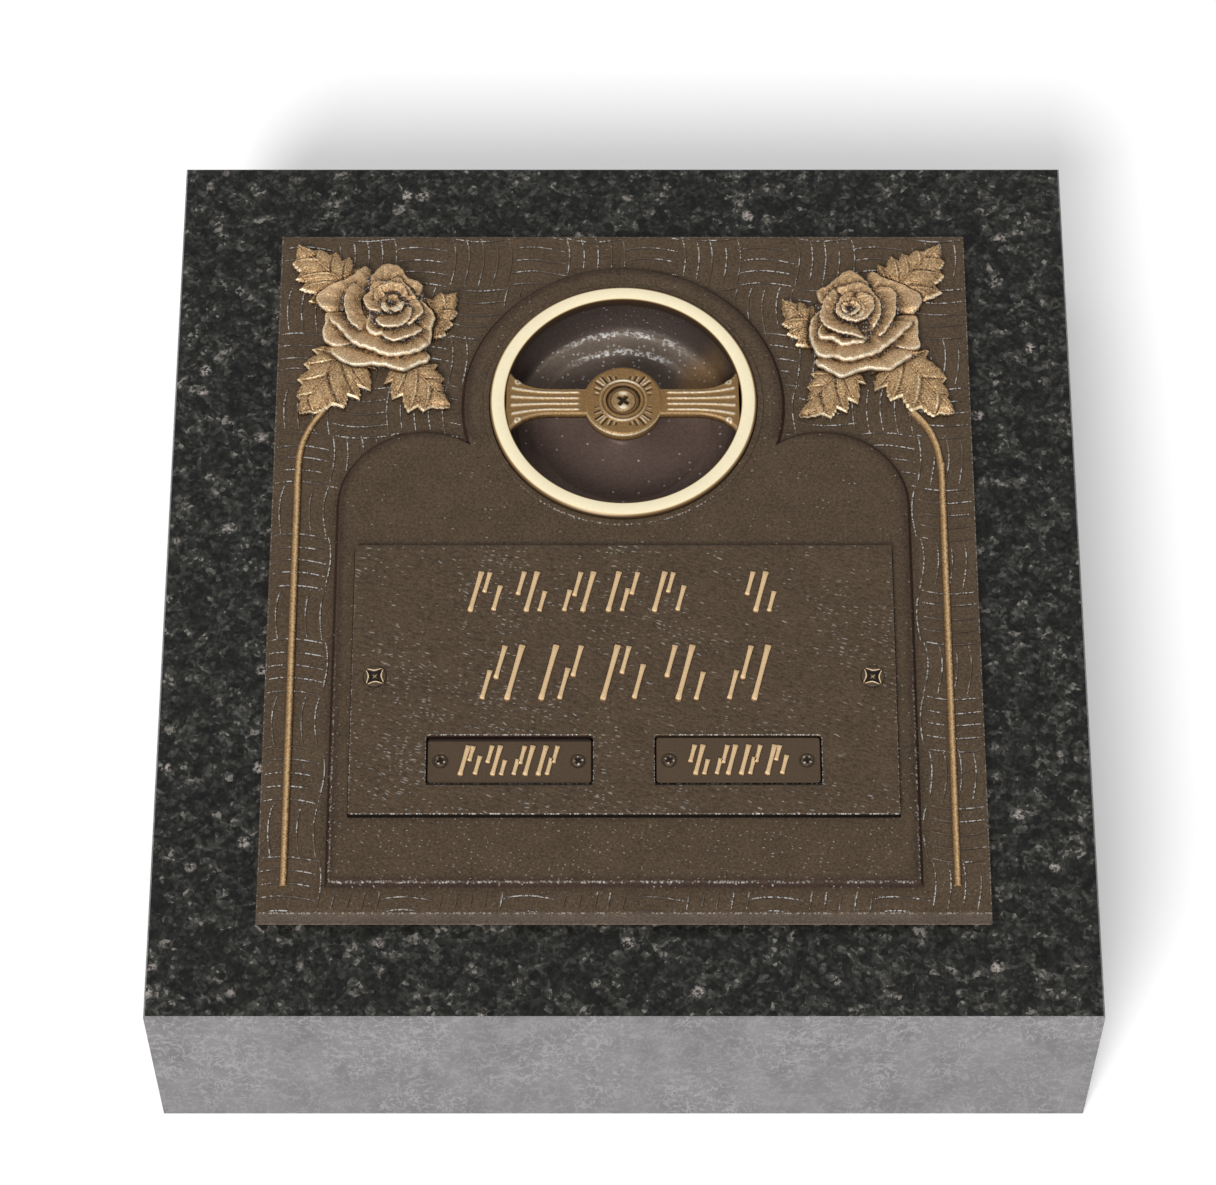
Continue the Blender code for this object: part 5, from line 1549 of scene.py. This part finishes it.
def granite():
    """Dark granite: polished top with grey-green crystals and pale flecks, light sawn sides."""
    g = Finish("dark_granite", 0.2, 0.0, 0.3)
    place = g.middle()
    moved = g.pushed(place, 140.0, 3.0, 0.0022)
    large, small = (g.crystals(moved, scale)["Color"].channel("Red") for scale in (235.0, 560.0))
    top = g.ramp(large * 0.30 + small * 0.32 + g.noise(place, 75.0, 5.0, 0.75) * 0.80, [
        (0.42, 11, 11, 11), (0.60, 24, 25, 23), (0.74, 38, 39, 36), (0.88, 59, 59, 55), (0.97, 88, 85, 80),
        (1.0, 124, 119, 112),
    ])
    flecks = g.crystals(moved, 75.0)
    chosen = flecks["Color"].channel("Green").math("GREATER_THAN", 0.90)
    ragged = g.noise(place, 480.0, 3.0, 0.7).between(0.42, 0.60)
    top = g.mix(chosen * flecks.between(0.32, 0.14) * ragged * 0.9, top, (176, 166, 160))
    upright = g.cells((1.0, 1.0, 2.0))
    base = g.ramp(g.noise(upright, 55.0, 4.0, 0.6), [(0.35, 111, 110, 111), (0.62, 126, 124, 125)])
    bent = g.pushed(upright, 90.0, 3.0, 0.018)
    veins = []
    for scale, width in ((150.0, 0.10), (330.0, 0.16)):
        vein = g.crystals(bent, scale, "DISTANCE_TO_EDGE")["Distance"].between(width, 0.01)
        veins.append(vein * g.noise(place, scale * 0.8, 3.0, 0.6).between(0.42, 0.60) * 0.7)
    patches = g.noise(upright, 30.0, 2.0).between(0.40, 0.62) * 0.5 + 0.5
    sawn = g.mix(veins[0].most(veins[1]) * patches, base, (160, 157, 157))
    is_top = g.normal().part("Z").between(0.85, 0.97)
    rough = g.node("ShaderNodeMapRange", {"Value": is_top, "To Min": 0.85, "To Max": 0.30})
    g.put(rough, g.shader["Roughness"])
    return g.done(g.mix(is_top, sawn, top), g.noise(place, 900.0, 3.0) * (1.0 - is_top), 0.0002, 0.5)


def polished_bronze():
    """Vase ring: even cream-gold polish, with painted shade on its sides that shows as a thin brown line at
    its edges.
    """
    g = Finish("polished_cream_bronze", 0.36, 0.15, 0.3)
    colour = g.ramp(g.tone(), [
        (0.0, 46, 34, 26), (0.35, 128, 98, 62), (0.70, 228, 204, 158), (0.92, 255, 242, 206),
    ])
    return g.done(g.grain(colour, 500.0, 0.04))


def dish_bronze():
    """Inside of the vase: wall darkened by painted shade, brown-grey step with painted light at the back,
    red-brown floor lighter towards the front, a painted glow near the right arm, painted glints on the beads
    at the back.
    """
    g = Finish("dish_dark_bronze", 0.5, 0.2, 0.25)
    place = g.middle()
    x = place.part("X")
    y = place.part("Y") - VASE_Y
    radius = g.length(x, y)
    towards_back = y / radius
    back = towards_back.between(0.15, 0.85)
    middle = towards_back.between(0.74, 0.97)
    share = radius.share(0.036, 0.062)
    # Painted shade darkening towards the wall; at the back the lit ramp paints light on the step and beads
    even = g.ramp(share, [
        (0.0, 104, 85, 76), (0.30, 102, 83, 74), (0.64, 90, 73, 65), (0.78, 74, 60, 55), (1.0, 60, 50, 46),
    ])
    lit = g.ramp(share, [
        (0.0, 92, 78, 70), (0.24, 102, 88, 78), (0.33, 126, 112, 98), (0.50, 112, 98, 87),
        (0.62, 114, 101, 90), (0.69, 132, 119, 105), (0.76, 80, 68, 61), (1.0, 62, 53, 50),
    ])
    colour = g.mix(towards_back.between(-0.15, -0.75), g.mix(back, even, lit), (100, 82, 74))
    # Painted glow of light near the right arm
    glow = g.length(x - 0.040, y - 0.026).between(0.017, 0.002)
    base = g.grain(g.mix(glow * 0.8, colour, (150, 116, 74)), 700.0, 0.25)
    # Painted glints on the beads and in dots at the back, and a few on the wall
    broken = g.noise(place, 420.0, 3.0, 0.7).between(0.48, 0.58)
    bead = g.tone().between(0.45, 0.80) * middle * broken
    inside = radius.between(0.0560, 0.0545)
    dots = g.glints(g.cells((0.0026, 0.0026, 1)), (back * 0.26 + 0.04) * inside, 0.26)
    wall = g.noise(place, 620.0, 2.0, 0.6).between(0.64, 0.72) * (middle * (1.0 - inside))
    colour = g.mix(bead.most(dots * 0.6, wall * 0.35), base, (214, 211, 206))
    return g.done(colour, base["Height"], 0.0003, 0.6)


# The marker

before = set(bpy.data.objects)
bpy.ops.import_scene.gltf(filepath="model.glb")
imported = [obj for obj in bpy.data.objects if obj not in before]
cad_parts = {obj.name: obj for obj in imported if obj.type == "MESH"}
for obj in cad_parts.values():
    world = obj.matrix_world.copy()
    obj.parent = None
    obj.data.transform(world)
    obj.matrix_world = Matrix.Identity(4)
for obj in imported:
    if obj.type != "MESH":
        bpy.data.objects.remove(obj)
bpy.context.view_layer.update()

cast_grain_group()
glint_group()
height_band_group()
bead_tree = line_tree()
copy_tree = scatter_tree()

rose_finish = gold_relief("rose_gold_bronze", [
    (0.0, 58, 46, 37), (0.16, 94, 71, 48), (0.36, 174, 141, 102), (0.56, 198, 164, 124),
    (0.74, 220, 190, 150), (0.92, 255, 242, 212),
], 1500.0, 0.60, 0.45, 0.38, glints=0.55, recess_glints=0.9, raggedness=1.25, grit=1400.0)
leaf_finish = gold_relief("leaf_gold_bronze", [
    (0.0, 58, 45, 34), (0.16, 88, 65, 42), (0.38, 168, 134, 94), (0.56, 190, 156, 114),
    (0.74, 208, 174, 130), (0.92, 254, 236, 198),
], 1200.0, 0.72, 0.45, 0.38, glints=0.30, recess_glints=0.8, raggedness=1.8, grit=1300.0)
stroke_finish = gold_relief("stroke_gold_bronze", [
    (0.0, 88, 62, 38), (0.5, 214, 178, 132), (0.9, 236, 202, 156),
], 1300.0, 0.12)
handle_finish = gold_relief("handle_olive_bronze", [
    (0.0, 52, 38, 24), (0.25, 130, 99, 60), (0.55, 152, 119, 75), (0.95, 214, 194, 158),
], 1000.0, 0.20, glints=0.95)
screw_finish = gold_relief("screw_gold_bronze", [
    (0.0, 36, 26, 18), (0.4, 130, 98, 60), (0.75, 200, 172, 130), (0.95, 246, 236, 214),
], 1500.0, 0.2)
rosette_finish = gold_relief("rosette_screw_bronze", [
    (0.0, 30, 22, 17), (0.36, 84, 69, 55), (0.56, 96, 78, 60), (0.74, 220, 180, 130), (0.92, 255, 236, 200),
], 1300.0, 0.2)
date_screw_finish = gold_relief("date_screw_bronze", [
    (0.0, 30, 23, 18), (0.34, 76, 62, 49), (0.62, 112, 95, 77), (0.88, 232, 222, 206),
], 1500.0, 0.3, raggedness=1.2)
stem_finish = stem_bronze()
date_finish = date_bronze()

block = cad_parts["granite_base"]
block.data.materials.clear()
block.data.materials.append(granite())

keep(plaque_body(plaque_bronze()), "dark_bronze", "bronze_plaque")
weave = beads("weave_ridges", weave_lines(), RIDGE_RADIUS, RIDGE_STEP, RIDGE_SIDES, RIDGE_THINNING,
              ridge_bronze(), bead_tree)
keep(weave, "dark_bronze", "bronze_plaque")
for side, centre, petals, bud, leaves, seed in (
    ("left", LEFT_ROSE, LEFT_PETALS, LEFT_BUD, LEFT_LEAVES, 3),
    ("right", RIGHT_ROSE, RIGHT_PETALS, RIGHT_BUD, RIGHT_LEAVES, 5),
):
    keep(rose(side + "_rose", centre, petals, bud, rose_finish, seed), "gold_bronze", "bronze_plaque")
    keep(leaves_of(side + "_leaves", centre, petals, leaves, leaf_finish), "gold_bronze", "bronze_plaque")
for side, stem in (("left", LEFT_STEM), ("right", RIGHT_STEM)):
    xs, ys = zip(*stem)
    shares = np.arange(61) / 60
    line = [(smooth_value(xs, share), smooth_value(ys, share), GROUND + STEM_LIFT) for share in shares]
    beaded = beads(side + "_stem", [line], STEM_RADIUS, STEM_STEP, STEM_SIDES, STEM_THINNING,
                   stem_finish, bead_tree)
    keep(beaded, "gold_bronze", "bronze_plaque")

keep(name_plate(leather_bronze()), "dark_bronze", "name_plate")
name_marks = []
for k, left in enumerate(FIRST_LEFTS):
    name_marks += mark_places(left, FIRST_ROW_Y, FIRST_PITCH * MARK_SHARE, FIRST_HEIGHT, k if k < 5 else 1)
for k in range(5):
    left = (k - 2.45) * SECOND_PITCH
    name_marks += mark_places(left, SECOND_ROW_Y, SECOND_PITCH * MARK_SHARE, SECOND_HEIGHT, k + 2)
keep(strokes("name_strokes", name_marks, NAME_TOP, stroke_finish, copy_tree), "gold_bronze", "name_plate")
date_screw_places = []
for side, x in DATE_SIDES:
    keep(date_plate(side, x, date_finish), "dark_bronze", "date_plate_" + side)
    marks = []
    for k in range(4):
        pattern = k if side == "left" else k + 1
        marks += mark_places(x + (k - 2) * DATE_PITCH, DATE_Y, DATE_PITCH, DATE_HEIGHT, pattern)
    top = NAME_TOP - DATE_SINK[side]
    date_strokes = strokes("date_strokes_" + side, marks, top, stroke_finish, copy_tree)
    keep(date_strokes, "gold_bronze", "date_plate_" + side)
    date_screw_places += [(x + sx * DATE_SCREW_X, DATE_Y, top - DATE_SCREW_SINK) for sx in (-1, 1)]

places = [(sx * NAME_SCREW_X, NAME_Y, NAME_TOP + NAME_SCREW_LIFT) for sx in (-1, 1)]
rosettes = screws("name_plate_screws", places, [0.05, -0.08], NAME_SCREW_RADIUS, star_recess,
                  rosette_finish, copy_tree)
keep(rosettes, "gold_bronze", "name_plate_screw_left", "name_plate_screw_right")
small = screws("date_plate_screws", date_screw_places, [0.3, 0.9, 0.5, 0.1], DATE_SCREW_RADIUS,
               small_cross, date_screw_finish, copy_tree)
keep(small, "screw_bronze", "date_plate_screw_1", "date_plate_screw_2", "date_plate_screw_3",
     "date_plate_screw_4")

keep(vase_ring(polished_bronze()), "polished_bronze", "vase")
keep(vase_dish(dish_bronze()), "dark_bronze", "vase")
keep(vase_handle(handle_finish), "gold_bronze", "vase_handle")
places = [(0, VASE_Y, HUB_TOP - HANDLE_SCREW_SINK)]
head = screws("handle_screw", places, [0.0], HANDLE_SCREW_RADIUS, handle_cross, screw_finish, copy_tree)
keep(head, "gold_bronze", "vase_handle_screw")

# Floor, light and camera

floor_look = Finish("pale_floor", 0.9, 0.0, 0.1)
floor_look.shader["Base Color"].default_value = WHITE
floor_look.shader["Emission Color"].default_value = WHITE
floor_look.shader["Emission Strength"].default_value = FLOOR_GLOW
corners = [(sx * FLOOR_HALF, sy * FLOOR_HALF, 0, 0) for sx, sy in ((-1, -1), (1, -1), (1, 1), (-1, 1))]
floor = Skin(corners, [(0, 1, 2, 3)]).object("floor", floor_look.material)

world = bpy.data.worlds.new("studio")
bpy.context.scene.world = world
world.use_nodes = True
world.node_tree.nodes["Background"].inputs["Color"].default_value = WHITE
world.node_tree.nodes["Background"].inputs["Strength"].default_value = SKY_STRENGTH

sun_data = bpy.data.lights.new("key", "SUN")
sun_data.angle = math.radians(SUN_SPREAD)
sun_data.energy = SUN_STRENGTH
sun = add_object("key", sun_data)
across, away, down = SUN_DIRECTION
sun.rotation_euler = (math.atan2(math.hypot(across, away), -down), 0, math.atan2(-across, away))

camera_data = bpy.data.cameras.new("camera")
camera_data.sensor_width = 36.0
camera_data.lens = CAMERA_LENS
camera = add_object("camera", camera_data)
camera.location = CAMERA_PLACE
camera.rotation_euler = (math.radians(90 - CAMERA_DOWN), 0, 0)
bpy.context.scene.camera = camera
bpy.context.scene.view_settings.view_transform = "Standard"
